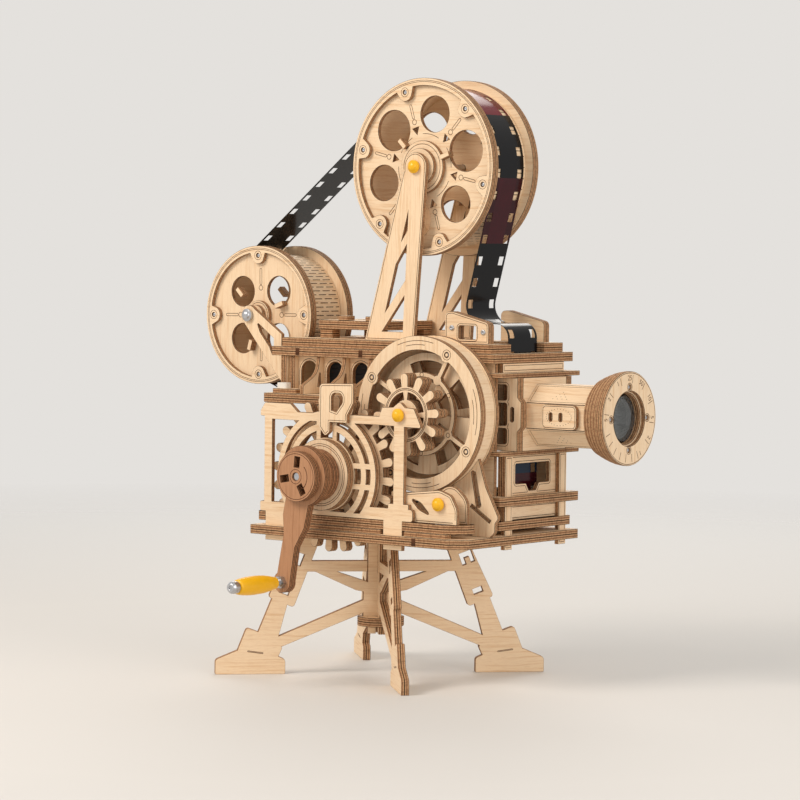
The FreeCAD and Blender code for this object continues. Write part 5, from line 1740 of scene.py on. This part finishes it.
@dataclass
class ShutterDrum:
    """The shutter's drum with its ring, spokes, wall, back plate and brace, and the shutters inside.

    Each arc is its radius with its first and last angle from a screw.
    """

    screw_angles: Numbers = (60, 150, 240, 330)
    screw_reach: float = 34.6
    screw_hole: float = 1.4
    screw_ring: float = 2.5
    screw_size: float = 0.72
    ring_line: float = 0.25
    sunk: float = 0.85
    arcs: tuple[Triple, ...] = ((36.6, 16, 52), (34.6, 24, 44))
    knot_angles: Numbers = (30, 90, 150, 210, 270, 330)
    knot_reach: float = 19.6
    knot_radius: float = 1.1

    def build(self) -> None:
        """Makes the drum, its screws and its burnt lines."""
        spot = axis_mm("shutter_turn").xz
        places = [polar(spot, self.screw_reach, angle) for angle in self.screw_angles]
        holes = tuple(circle(place, self.screw_hole, 20) for place in places)
        boards("drum_front_ring", "projector", "drum_front_ring", extra=holes)
        copies("projector", "drum_spider", "drum_back_plate", "drum_brace")
        bent_wall("drum_wall", "projector")
        copies("shutter", "shutter_wheel")
        self.barrel_shutter()
        face = near_face("drum_front_ring")
        lines, screws = Engraving("drum_lines"), Details("drum_screws")
        for place, angle in zip(places, self.screw_angles):
            lines.draw([circle(place, self.screw_ring, 28)], SIDE, face, width=self.ring_line)
            screws.at(SIDE, place, face - self.sunk, angle)
            for radius, first, last in self.arcs:
                lines.draw([arc(spot, radius, angle + first, angle + last)], SIDE, face, closed=False)
        for angle in self.knot_angles:
            knot = circle(polar(spot, self.knot_reach, angle), self.knot_radius, 16)
            lines.draw([knot], SIDE, near_face("drum_spider"))
        lines.build("projector")
        screws.build(screw_head(), STEEL, "projector", self.screw_size)

    def barrel_shutter(self) -> None:
        """The barrel shutter behind the gate, with its cut windows as they are in the CAD part."""
        bm = merged_copy("barrel_shutter")
        board = bm.verts.layers.float_vector.new("board")
        for vert in bm.verts:
            vert[board] = vert.co / MM
        mesh = bpy.data.meshes.new("barrel_shutter")
        bm.to_mesh(mesh)
        bm.free()
        smoothed(mesh, BOARD_SHARP)
        BLACK.dress(linked("barrel_shutter", mesh), "shutter", ("barrel_shutter",))


@dataclass
class Body:
    """The projector's body: walls, deck, gallery, cornice, roof and front."""

    window_line: float = 1.1
    window_area: Pair = (60, 400)
    tenons: tuple[tuple[str, Numbers], ...] = (
        ("cornice_plate", (-44, -2, 40)), ("base_lower_plate", (-20, 60)),
    )
    tenon_length: float = 2.6
    tenon_margin: float = 1.0
    dot_pitch: float = 1.5
    dot_columns: Pair = (0.32, 0.68)
    dot_size: float = 0.8
    pillar_width: float = 6.0
    pillar_end: float = 1.0

    def build(self) -> None:
        """Makes the body's boards and their burnt lines."""
        copies("projector", "body_deck", "near_wall", "far_wall", "rear_wall", "gallery_supports",
               "cornice_plate", "roof_plate", "front_shelves", "front_panels")
        lines = Engraving("body_lines")
        least, most = self.window_area
        for node in ("near_wall", "far_wall"):
            (slab,) = slabs(node)
            face = slab.high if node == "near_wall" else slab.low
            lines.draw(rims(slab, self.window_line, least, most), SIDE, face, closed=False)
        for slab in slabs("front_panels"):
            lines.draw(rims(slab, self.window_line, least), FRONT, slab.high, closed=False)
        lines.build("projector")
        self.tenon_ends()
        self.pillar_dots()

    def tenon_ends(self) -> None:
        """Dark ends of tenons in the long edges of the cornice and the base."""
        ends = Engraving("tenon_ends")
        half = self.tenon_length / 2
        for node, places in self.tenons:
            low, high = box_mm(node)
            middle = (low.z + high.z) / 2
            width = high.z - low.z - self.tenon_margin
            for face in (-low.y, -high.y):
                for x in places:
                    stub = np.array([(x - half, middle), (x + half, middle)])
                    ends.draw([stub], SIDE, face, closed=False, width=width)
        ends.build("projector")

    def pillar_dots(self) -> None:
        """Two columns of dots on each corner pillar's narrow face."""
        dots = Details("pillar_dots")
        for slab in slabs("gallery_supports"):
            outline = slab.loops[0]
            if slab.plane is not FRONT or np.ptp(outline[:, 0]) > self.pillar_width:
                continue
            near, low = outline.min(0)
            for column in self.dot_columns:
                x = slab.low + (slab.high - slab.low) * column
                top = outline[:, 1].max() - self.pillar_end
                for z in np.arange(low + self.dot_pitch, top, self.dot_pitch):
                    dots.at(SIDE, (x, float(z)), -near)
        dots.build(burnt_dot(), SCORCH, "projector", self.dot_size)


@dataclass
class LensUnit:
    """The lens: mount, eight sided barrel, stacked ring, tube and glass."""

    line_inset: float = 1.1
    mount_area: Pair = (60, 600)
    sides: int = 8
    panel_gap: float = 0.1
    panel_border: Pair = (3.0, 2.4)
    dot_rows: int = 4
    dot_pitch: Pair = (1.4, 1.5)
    dot_size: float = 0.7
    plate_dots: int = 26
    plate_reach: Pair = (7.6, 4.1)
    plate_inset: float = 0.8
    ring_rear: float = 19.5
    ring_front: float = 23.3
    ring_chamfers: Pair = (0.45, 0.3)
    bores: Numbers = (14.8, 14.8, 12.6, 12.6, 12.6, 13.6)
    front_gap: float = 0.06
    screw_angles: Numbers = (0, 90, 180, 270)
    screw_reach: float = 15.5
    screw_hole: float = 1.2
    screw_ring: float = 2.0
    screw_size: float = 0.62
    sunk: float = 1.1
    edge_line: float = 0.8
    ticks: int = 24
    blank_ticks: tuple[int, int] = (13, 19)
    tick_reach: Pair = (17.6, 21.6)
    labels: Names = ("25", "50", "10", "5", "2", "1") * 2
    label_size: float = 3.6
    label_reach: float = 19.9
    blank: Pair = (195, 300)
    tube: float = 12.2
    tube_bore: float = 10.6
    tube_flange: float = 14.7
    tube_gap: float = 0.05
    front_glass: Triple = (12.4, 1.4, 3.0)
    rear_glass: Triple = (10.4, 1.0, 2.2)

    def build(self) -> None:
        """Makes the lens from the body forward."""
        copies("projector", "lens_mount")
        lines = Engraving("lens_mount_lines")
        for slab in slabs("lens_mount"):
            if slab.plane is SIDE:
                for face in (slab.low, slab.high):
                    lines.draw(rims(slab, self.line_inset, *self.mount_area), SIDE, face, closed=False)
        lines.build("projector")
        self.barrel()
        self.ring()
        self.optics()

    @property
    def centre(self) -> Point:
        """The lens axis as (Y, Z)."""
        low, high = box_mm("lens_ring")
        return ((low.y + high.y) / 2, (low.z + high.z) / 2)

    def barrel(self) -> None:
        """The barrel's eight boards and the plates on its sides."""
        low, high = box_mm("lens_barrel")
        length = high.x - low.x
        apothem = (high.z - low.z) / 2
        width = 2 * apothem * math.tan(math.pi / self.sides)
        origin = Vector((0, *self.centre))
        piece = Carpenter("lens_barrel")
        lines, dots = Engraving("lens_barrel_lines"), Details("lens_barrel_dots")
        for k in range(self.sides):
            plane = Plane.along_x(360 / self.sides * k)
            middle = (low.x + length / 2, origin.dot(Vector(plane.y)))
            face = origin.dot(plane.out) + apothem
            piece.add([rect(middle, length, width - self.panel_gap)], plane, face - PLY, face, 1)
            if k % 2:
                border = rect(middle, length - self.panel_border[0], width - self.panel_border[1])
                lines.draw([border], plane, face)
                self.triangle_of_dots(dots, plane, middle, face)
        self.side_plates(piece, lines, dots)
        piece.build(PLYWOOD, "projector", ("lens_barrel",))
        lines.build("projector")
        dots.build(burnt_dot(), SCORCH, "projector", self.dot_size)

    def triangle_of_dots(self, dots: "Details", plane: Plane, middle: Point, face: float) -> None:
        """Places a triangle of dots on a slanted board.

        Args:
            dots: Where the dots are collected.
            plane: Plane of the board.
            middle: The board's middle.
            face: Depth of its face.
        """
        along, across = self.dot_pitch
        for row in range(self.dot_rows):
            up = middle[1] - 2 * across + across * (self.dot_rows - 1 - row)
            for step in range(-row, row + 1, 2):
                dots.at(plane, (middle[0] + step * along, up), face)

    def side_plates(self, piece: Carpenter, lines: Engraving, dots: Details) -> None:
        """The two plates on the barrel's sides, each with two slots and a ring of dots.

        Args:
            piece: The barrel.
            lines: Where its lines are collected.
            dots: Where its dots are collected.
        """
        for slab in slabs("lens_barrel"):
            if slab.plane is not SIDE:
                continue
            piece.add(slab.loops, slab.plane, slab.low, slab.high)
            front = -slab.high < self.centre[0]
            face = slab.high if front else slab.low
            outline = largest(slab.loops)
            middle = (outline.max(0) + outline.min(0)) / 2
            lines.draw(rims(slab, self.plate_inset, least=60), SIDE, face, closed=False)
            for k in range(self.plate_dots):
                turn = 2 * math.pi * k / self.plate_dots
                spot = middle + np.array(self.plate_reach) * (math.cos(turn), math.sin(turn))
                dots.at(SIDE, tuple(map(float, spot)), face, back=not front)

    def ring(self) -> None:
        """The focus ring of six plies, its numbers, ticks and screws."""
        start = box_mm("lens_ring")[0].x
        spot = self.centre
        last = len(self.bores) - 1
        places = [polar(spot, self.screw_reach, angle) for angle in self.screw_angles]
        piece = Carpenter("lens_ring")
        for k, bore in enumerate(self.bores):
            outer = self.ring_front - (self.ring_front - self.ring_rear) * ((last - k) / last) ** 1.5
            loops = [circle(spot, outer, 96), circle(spot, bore)]
            top = start + (k + 1) * PLY
            if k == last:
                loops += [circle(place, self.screw_hole, 20) for place in places]
                top -= self.front_gap
            piece.add(loops, FRONT, start + k * PLY, top, 1, self.ring_chamfers[k == last])
        piece.build(PLYWOOD, "lens", ("lens_ring",))
        face = start + len(self.bores) * PLY - self.front_gap
        self.scale(spot, places, face)
        screws = Details("lens_ring_screws")
        for place, angle in zip(places, self.screw_angles):
            screws.at(FRONT, place, face - self.sunk, angle)
        screws.build(screw_head(), STEEL, "lens", self.screw_size)

    def scale(self, spot: Point, places: list[Point], face: float) -> None:
        """The lines, ticks and numbers of the ring's face.

        Args:
            spot: The ring's centre.
            places: Where its screws are.
            face: Depth of its face.
        """
        lines = Engraving("lens_ring_marks")
        lines.draw([circle(spot, self.ring_front - self.edge_line, 96)], FRONT, face)
        lines.draw([circle(place, self.screw_ring, 24) for place in places], FRONT, face)
        ticks = []
        first, last = self.blank_ticks
        for k in range(self.ticks):
            if k % 2 or first <= k <= last:
                angle = (k + 0.5) * 360 / self.ticks
                ticks.append(np.array([polar(spot, reach, angle) for reach in self.tick_reach]))
        lines.draw(ticks, FRONT, face, closed=False)
        for k, label in enumerate(self.labels):
            angle = 90 - 360 / len(self.labels) * k
            if not self.blank[0] < angle % 360 < self.blank[1]:
                place = polar(spot, self.label_reach, angle)
                lines.stamp(label, self.label_size, place, angle - 90, FRONT, face)
        lines.build("lens")

    def optics(self) -> None:
        """The sliding tube and the two glass elements."""
        spindle = Spindle.forward("lens", self.centre)
        low, high = box_mm("lens_tube")
        step = box_mm("lens_ring")[0].x + self.tube_gap
        profile = [
            (low.x, self.tube_bore), (high.x, self.tube_bore), (high.x, self.tube_flange),
            (step, self.tube_flange), (step, self.tube), (low.x, self.tube),
        ]
        spindle.turn("lens_tube", profile, CARD, "lens_tube", steps=64, round_by=0.3)
        low, high = box_mm("lens_glass")
        radius, rim, height = self.front_glass
        front = self.element(high.x - rim - height, *self.front_glass)
        spindle.turn("lens_glass_front", front, GLASS, "lens_glass", steps=48)
        spindle.turn("lens_glass_rear", self.element(low.x, *self.rear_glass), GLASS, steps=48)

    @staticmethod
    def element(start: float, radius: float, rim: float, height: float) -> list[Point]:
        """Profile of a glass element that is flat behind and domed in front."""
        return [(start, 0.0), (start, radius), (start + rim, radius), *bulge(start + rim, height, radius, 9)]


@dataclass
class LightAndPower:
    """The lamp, the battery box with its lid, and the slide switch."""

    collar: float = 1.2
    collar_ends: Pair = (6.5, 5.2)
    dome: float = 5.0

    def build(self) -> None:
        """Makes the lamp, the battery box, the lid and the switch."""
        copies("projector", "lamp_holder", "battery_lid", "switch_body")
        copies("projector", "battery_box", finish=BLACK)
        copies("switch", "switch_knob", finish=WHITE)
        low, high = box_mm("lamp")
        collar = (high.z - low.z) / 2
        radius = collar - self.collar
        behind, before = (high.x - end for end in self.collar_ends)
        profile = [(low.x, 0.0), (low.x, radius), (behind, radius), (behind, collar), (before, collar)]
        profile += bulge(high.x - self.dome, self.dome, radius, steps=8, first=0.3)
        spot = ((low.y + high.y) / 2, (low.z + high.z) / 2)
        Spindle.forward("projector", spot).turn("lamp", profile, BULB, "lamp", steps=40)


@dataclass
class Reel:
    """One film reel: two flanges of two plies, the kerf bent drum, the axle and its caps.

    The boss is the hub disc, reach is where the lobes have their centres, and the slots' reach says
    how far out each slot between hub and lobe begins and ends.
    """

    name: str
    rim: float
    lobes: int
    first_lobe: float
    lobe: float
    slot_reach: Pair
    boss: float
    caps: Plain
    triangles: bool = False
    big_holes: Numbers = ()
    big_share: float = 1.13
    tab_angles: Numbers = (20, 135, 255)
    tab_reach: float = 16.6
    tab: Pair = (5.6, 4.2)
    triangle_reach: float = 19.6
    triangle: float = 2.4
    arc_reach: float = 16.9
    arc_gap: float = 12.0
    rim_lines: Pair = (1.2, 1.9)
    fine_line: float = 0.25
    play: float = 0.1
    screw_hole: float = 1.2
    screw_ring: float = 2.3
    screw_size: float = 0.62
    sunk: float = 0.85
    slot_width: float = 1.3
    dot_gap: float = 1.7
    lobe_inset: float = 1.6
    boss_top: float = 0.7
    boss_line: float = 0.87
    bare: float = 1.0

    @property
    def spot(self) -> Point:
        """The reel's centre as (X, Z)."""
        return axis_mm(f"{self.name}_turn").xz

    @property
    def angles(self) -> list[float]:
        """Directions of the lobes."""
        return [self.first_lobe + 360 / self.lobes * k for k in range(self.lobes)]

    @property
    def reach(self) -> float:
        """How far out the lobes have their centres."""
        return self.rim - self.lobe_inset

    def build(self) -> None:
        """Makes the reel and dresses it."""
        flanges = f"{self.name}_flanges"
        piece = Carpenter(flanges)
        lines, screws = Engraving(f"{self.name}_lines"), Details(f"{self.name}_screws")
        near = -box_mm(f"{self.name}_drum")[0].y
        for slab in slabs(flanges):
            way = 1 if slab.high > near else -1
            self.flange(piece, slab, way)
            self.marks(lines, screws, slab, way)
        piece.build(PLYWOOD, self.name, (flanges,))
        lines.build(self.name)
        screws.build(screw_head(), STEEL, self.name, self.screw_size)
        bent_wall(f"{self.name}_drum", self.name, Kerf())
        self.axle()

    def flange(self, piece: Carpenter, slab: Slab, way: int) -> None:
        """Adds a flange: a web beside the drum, and outside it a rim ring with lobes, a hub disc and tabs.

        Args:
            piece: Where its boards are added.
            slab: The CAD part's flange.
            way: 1 for the near flange and -1 for the far one.
        """
        spot, angles = self.spot, self.angles
        middle = (slab.low + slab.high) / 2
        inner, face = (slab.low, slab.high)[::way]
        web = [self.widened(loop) for loop in slab.loops]
        for angle in angles if self.triangles else ():
            place = polar(spot, self.triangle_reach, angle)
            web.append(moved(circle((0, 0), self.triangle, 3), place, angle + 180))
        opening = lobed(spot, self.rim, self.lobe, self.reach, angles)
        ring = [circle(spot, outer_radius(slab, spot), 120), opening]
        ring += [circle(polar(spot, self.reach, angle), self.screw_hole, 20) for angle in angles]
        hole = circle(spot, ROD_RADIUS + self.play)
        layers = [
            (web, inner, middle),
            (ring, middle, face),
            ([circle(spot, self.boss), hole], middle, face),
            ([circle(spot, self.boss * self.boss_top), hole], face, face + way * PLY),
        ]
        length, height = self.tab
        for angle in self.tab_angles:
            tab = rect(polar(spot, self.tab_reach, angle), length, PLY, angle)
            layers.append(([tab], middle, middle + way * height))
        for loops, start, end in layers:
            piece.add(loops, SIDE, *sorted((start, end)), 1)

    def marks(self, lines: Engraving, screws: Details, slab: Slab, way: int) -> None:
        """Adds a flange's burnt lines and its screws.

        Args:
            lines: Where the lines are collected.
            screws: Where the screws are collected.
            slab: The CAD part's flange.
            way: 1 for the near flange and -1 for the far one.
        """
        spot, angles = self.spot, self.angles
        middle = (slab.low + slab.high) / 2
        face = slab.high if way > 0 else slab.low
        outer = outer_radius(slab, spot)
        lines.draw(rings(spot, [outer - by for by in self.rim_lines], 120), SIDE, face, width=self.fine_line)
        lines.draw([circle(spot, self.boss * self.boss_line)], SIDE, face)
        for angle in angles if self.triangles else ():
            end = angle + 360 / self.lobes - self.arc_gap
            lines.draw([arc(spot, self.arc_reach, angle + self.arc_gap, end)], SIDE, middle, closed=False)
        near, far = self.slot_reach
        for angle in angles:
            place = polar(spot, self.reach, angle)
            lines.draw([circle(place, self.screw_ring, 28)], SIDE, face, width=self.fine_line)
            screws.at(SIDE, place, face - way * self.sunk, angle, back=way < 0)
            opening = slot(polar(spot, (near + far) / 2, angle), far - near, self.slot_width, angle)
            dot = circle(polar(spot, near - self.dot_gap, angle), self.slot_width, 20)
            lines.draw([opening, dot], SIDE, middle)

    def widened(self, loop: Loop) -> Loop:
        """A hole's outline, a little wider where the reel's holes are the big ones.

        Args:
            loop: The outline.

        Returns:
            The outline that the web gets.
        """
        middle = (loop.max(0) + loop.min(0)) / 2
        x, z = middle - np.array(self.spot)
        turn = math.degrees(math.atan2(z, x)) % 360
        big = math.hypot(x, z) > self.boss and any(abs(turn - a) < 5 for a in self.big_holes)
        return middle + (loop - middle) * self.big_share if big else loop

    def axle(self) -> None:
        """The steel axle and the cap on each end."""
        node = f"{self.name}_axle"
        low, high = box_mm(node)
        spindle = Spindle.across(self.name, self.spot)
        spindle.rod(node, low.y + self.bare, high.y - self.bare, node)
        for end, tip, way in (("near", low.y, 1), ("far", high.y, -1)):
            spindle.turn(f"{self.name}_cap_{end}", Cap().profile(tip, way), self.caps)


def outer_radius(slab: Slab, spot: Point) -> float:
    """Radius of a round board about its centre."""
    return float(np.abs(slab.loops[0] - np.array(spot)).max())


@dataclass
class ReelStands:
    """The top reel's stand and the rear reel's arms."""

    line_inset: float = 0.9

    def build(self) -> None:
        """Makes the stand, the arms and their burnt lines."""
        copies("projector", "top_reel_stand", "rear_reel_arms")
        lines = Engraving("reel_stand_lines")
        for slab in slabs("top_reel_stand"):
            for face in (slab.low, slab.high):
                lines.draw(rims(slab, self.line_inset, holes=False), SIDE, face, closed=False)
        lines.build("projector")


@dataclass
class FilmPath:
    """The film with its perforations, the roof guide, the gate, the roller and the drive belt.

    The film is a grid of cells. Some of them are perforations, and a stretch is a run of frames of one
    tone, drawn at random from the seed.
    """

    line_inset: float = 0.9
    guide_screws: tuple[Point, Point] = ((4.5, 7.5), (-3.2, 5.7))
    guide_screw_size: float = 0.85
    guide_screw_turn: float = 20.0
    pitch: float = 11.25
    cells: int = 10
    hole_cells: int = 4
    margin: float = 1.3
    hole_width: float = 3.9
    stretch: int = 3
    seed: int = 131949
    thickness: float = 0.28
    roller_radius: float = 4.9
    roller_flange: float = 6.1
    roller_edge: float = 2.0
    roller_play: float = 0.5

    def build(self) -> None:
        """Makes everything that guides or drives the film, and the film."""
        copies("projector", "film_guide_cheeks", "film_gate")
        copies("projector", "drive_belt", finish=RUBBER)
        self.guide()
        self.film()
        self.roller()

    def guide(self) -> None:
        """Two screws and a line on each cheek of the roof guide."""
        low, high = box_mm("film_guide_cheeks")
        centre = (low.y + high.y) / 2
        lines, screws = Engraving("film_guide_lines"), Details("film_guide_screws")
        for slab in slabs("film_guide_cheeks"):
            front = -slab.high < centre
            face = slab.high if front else slab.low
            lines.draw(rims(slab, self.line_inset), SIDE, face, closed=False)
            for x, z in self.guide_screws:
                side = low.x if x > 0 else high.x
                screws.at(SIDE, (side + x, low.z + z), face, self.guide_screw_turn, back=not front)
        lines.build("projector")
        screws.build(screw_head(), STEEL, "projector", self.guide_screw_size)

    def film(self) -> None:
        """The film loop: a strip along the CAD loop's inside, cut into cells, some of them perforations."""
        (slab,) = slabs("film_loop")
        line = self.places(straightened(min(slab.loops, key=lambda loop: abs(area(loop)))))
        edge = self.margin + self.hole_width
        ends = [slab.low, slab.low + self.margin, slab.low + edge]
        ends += [slab.high - edge, slab.high - self.margin, slab.high]
        verts = [SIDE.basis @ Vector((x, y, depth)) * MM for x, y in line for depth in ends]
        rows, count = len(ends), len(line)
        faces, holes, panes, fringe = [], [], [], []
        shades = random.Random(self.seed)
        for k in range(count):
            if k % (self.stretch * self.cells) == 0:
                tone = shades.random()
            for row in range(rows - 1):
                a, b = k * rows + row, (k + 1) % count * rows + row
                faces.append((a, b, b + 1, a + 1))
                holes.append(row in (1, 3) and k % self.cells < self.hole_cells)
                panes.append(tone)
                fringe.append(0.0 if row == 2 else 1.0)
        mesh = bpy.data.meshes.new("film_loop")
        mesh.from_pydata(verts, [], faces)
        columns = ("hole", "BOOLEAN", holes), ("pane", "FLOAT", panes), ("fringe", "FLOAT", fringe)
        for name, kind, values in columns:
            mesh.attributes.new(name, kind, "FACE").data.foreach_set("value", values)
        mesh.materials.append(film_material())
        obj = linked("film_loop", mesh)
        FILM.run(obj, Thickness=self.thickness * MM, Material=mesh.materials[0])
        smoothed(obj.data, 40)
        mounted(obj, "projector", ("film_loop",))

    def places(self, path: Loop) -> Loop:
        """The places along the film where its cells meet.

        Args:
            path: The closed line that the film follows.

        Returns:
            Evenly spaced points, as many as whole frames need.
        """
        path = path if area(path) > 0 else path[::-1]
        steps = np.linalg.norm(np.roll(path, -1, 0) - path, axis=1)
        total = float(steps.sum())
        count = round(total / self.pitch) * self.cells
        run = np.concatenate([[0.0], np.cumsum(steps)])
        closed = np.concatenate([path, path[:1]])
        at = np.arange(count) * total / count
        return np.stack([np.interp(at, run, closed[:, i]) for i in range(2)], 1)

    def roller(self) -> None:
        """The roller with its shaft, belt wheel and cap."""
        low, high = box_mm("film_roller")
        film_low, film_high = box_mm("film_loop")
        spot = axis_mm("roller_turn").xz
        spindle = Spindle.across("roller", spot)
        middle = (film_high.y + film_low.y) / 2
        inner = (film_high.y - film_low.y) / 2 + self.roller_play
        outer = inner + self.roller_edge
        half = [(-outer, ROD_RADIUS), (-outer, self.roller_flange), (-inner, self.roller_flange),
                (-inner, self.roller_radius)]
        profile = [(middle + y, r) for y, r in half] + [(middle - y, r) for y, r in reversed(half)]
        spindle.turn("film_roller", profile, STEEL, "film_roller", steps=40, round_by=0.3)
        spindle.rod("roller_shaft", low.y + 1.0, high.y)
        BeltWheel().build("roller_belt_wheel", "roller", spot, (high.x - low.x) / 2)
        spindle.turn("roller_cap", Cap().profile(low.y, 1), YELLOW)


@dataclass
class ShutterShaft:
    """The shaft that shutter wheel, small gears and barrel shutter share, and its cap."""

    bare: float = 1.0

    def build(self) -> None:
        """Makes the shaft and its cap."""
        low, high = box_mm("shutter_shaft")
        spindle = Spindle.across("shutter", axis_mm("shutter_turn").xz)
        spindle.rod("shutter_shaft", low.y + self.bare, high.y, "shutter_shaft")
        spindle.turn("shutter_cap", Cap().profile(low.y, 1), YELLOW)


def film_material() -> bpy.types.Material:
    """Dark glossy film whose stretches differ in colour.

    Returns:
        The material.
    """
    shade = Shade("glossy_film")
    pane = shade.add("ShaderNodeAttribute", attribute_name="pane").outputs["Fac"]
    fringe = shade.add("ShaderNodeAttribute", attribute_name="fringe").outputs["Fac"]
    tones = [(0.0, "0d0e12"), (0.25, "7c1422"), (0.5, "142a44"), (0.75, "430d18")]
    tone = shade.ramp(pane, tones, "CONSTANT")
    where = shade.add("ShaderNodeTexCoord").outputs["Object"]
    mottle = shade.noise(shade.stretched(where, (1 / MM,) * 3), 0.12, 3.0)
    tone = shade.mix(shade.math("MULTIPLY", mottle, 0.5), tone, linear("0a090b"))
    tone = shade.mix(shade.math("MULTIPLY", fringe, 0.3), tone, linear("0b0909"))
    shade.set(Base_Color=tone, Roughness=0.16, Specular_IOR_Level=0.16)
    return shade.material


# Studio


@dataclass
class Studio:
    """Floor, light and camera, with the camera at the photo's place.

    Each lamp is its name, place, size, power in watts and colour.
    """

    camera_spot: Triple = (1051.8, -1313.1, 224.0)
    azimuth: float = 38.4
    pitch: float = 2.83
    roll: float = 0.65
    focal: float = 147.6
    floor_size: float = 6000.0
    background: str = "e4e1dd"
    floor_tone: str = "d9d7d4"
    fade: Pair = (350.0, 1300.0)
    world_tone: str = "f6f3ee"
    world_strength: float = 0.6
    aim: Triple = (0.0, 0.0, 150.0)
    sensor: float = 36.0
    clip: Pair = (0.05, 20.0)
    lamps: tuple[tuple[str, Triple, float, float, str], ...] = (
        ("key", (-330, -900, 900), 520, 9.5, "fff4e8"),
        ("fill", (1200, -250, 500), 900, 5.5, "fff9f4"),
        ("back", (-500, 900, 800), 700, 4.5, "fffaf4"),
    )

    def build(self) -> None:
        """Makes the floor, the lamps, the world and the camera."""
        self.floor()
        self.world()
        for lamp in self.lamps:
            self.lamp(*lamp)
        self.camera()

    def floor(self) -> None:
        """A plain pale floor."""
        half = self.floor_size / 2 * MM
        mesh = bpy.data.meshes.new("floor")
        corners = [(-half, -half, 0), (half, -half, 0), (half, half, 0), (-half, half, 0)]
        mesh.from_pydata(corners, [], [(0, 1, 2, 3)])
        floor = linked("floor", mesh)
        shade = Shade("floor")
        shade.set(Base_Color=linear(self.floor_tone), Roughness=0.7, Specular_IOR_Level=0.2)
        where = shade.add("ShaderNodeTexCoord").outputs["Object"]
        away = shade.add("ShaderNodeVectorMath", {0: where}, operation="LENGTH").outputs["Value"]
        near, far = self.fade
        fade = shade.add("ShaderNodeMapRange", {0: away, 1: near * MM, 2: far * MM}).outputs[0]
        clear = shade.add("ShaderNodeBsdfTransparent").outputs[0]
        mixed = shade.add("ShaderNodeMixShader", {0: fade, 1: shade.shader.outputs[0], 2: clear})
        shade.put(shade.node_tree.nodes["Material Output"], 0, mixed.outputs[0])
        mesh.materials.append(shade.material)

    def world(self) -> None:
        """Soft light from all round, and a pale background for the camera."""
        world = bpy.data.worlds.new("studio")
        bpy.context.scene.world = world
        world.use_nodes = True
        graph = Graph(world.node_tree)
        light = world.node_tree.nodes["Background"]
        graph.put(light, "Color", linear(self.world_tone))
        graph.put(light, "Strength", self.world_strength)
        seen = graph.add("ShaderNodeBackground", {"Color": linear(self.background), "Strength": 1.0})
        rays = graph.add("ShaderNodeLightPath").outputs
        share = rays["Is Camera Ray"]
        for kind in ("Is Glossy Ray", "Is Transmission Ray"):
            share = graph.add("ShaderNodeMath", {0: share, 1: rays[kind]}, operation="MAXIMUM").outputs[0]
        mixed = graph.add("ShaderNodeMixShader", {0: share, 1: light.outputs[0], 2: seen.outputs[0]})
        graph.put(world.node_tree.nodes["World Output"], 0, mixed.outputs[0])

    def lamp(self, name: str, spot: Triple, size: float, power: float, tone: str) -> None:
        """A square lamp that faces the object.

        Args:
            name: Name of the lamp.
            spot: Where it stands.
            size: Length of its side.
            power: Its power in watts.
            tone: Its colour.
        """
        data = bpy.data.lights.new(name, "AREA")
        data.size = size * MM
        data.energy = power
        data.color = linear(tone)[:3]
        obj = linked(name, data)
        obj.location = Vector(spot) * MM
        aim = Vector(self.aim) * MM - obj.location
        obj.rotation_euler = aim.to_track_quat("-Z", "Y").to_euler()

    def camera(self) -> None:
        """The camera at the photo's place."""
        data = bpy.data.cameras.new("camera")
        data.lens = self.focal
        data.sensor_width = self.sensor
        data.clip_start, data.clip_end = self.clip
        obj = linked("camera", data)
        turn, down = math.radians(self.azimuth), math.radians(self.pitch)
        ahead = Vector((-math.sin(turn) * math.cos(down), math.cos(turn) * math.cos(down), -math.sin(down)))
        level = ahead.to_track_quat("-Z", "Y").to_matrix()
        rolled = level @ Matrix.Rotation(math.radians(self.roll), 3, "Z")
        obj.rotation_euler = rolled.to_euler()
        obj.location = Vector(self.camera_spot) * MM
        bpy.context.scene.camera = obj
        bpy.context.scene.view_settings.view_transform = "Standard"


def main() -> None:
    """Builds every sub-assembly in order."""
    logging.basicConfig(level=logging.INFO, format="%(name)s %(message)s")
    top = Reel("top_reel", rim=41.2, lobes=6, first_lobe=47, lobe=4.6, slot_reach=(25.5, 33.0), boss=13.4,
               caps=YELLOW, triangles=True, big_holes=(17, 137, 257))
    rear = Reel("rear_reel", rim=33.0, lobes=4, first_lobe=1, lobe=4.4, slot_reach=(16.0, 24.5), boss=7.5,
                caps=STEEL)
    for part in (Stand(), Base(), CrankSide(), GearTrain(), Crank(), ShutterDrum(), Body(), LensUnit(),
                 LightAndPower(), top, rear, ReelStands(), FilmPath(), ShutterShaft(), Studio()):
        part.build()


if __name__ == "__main__":
    main()
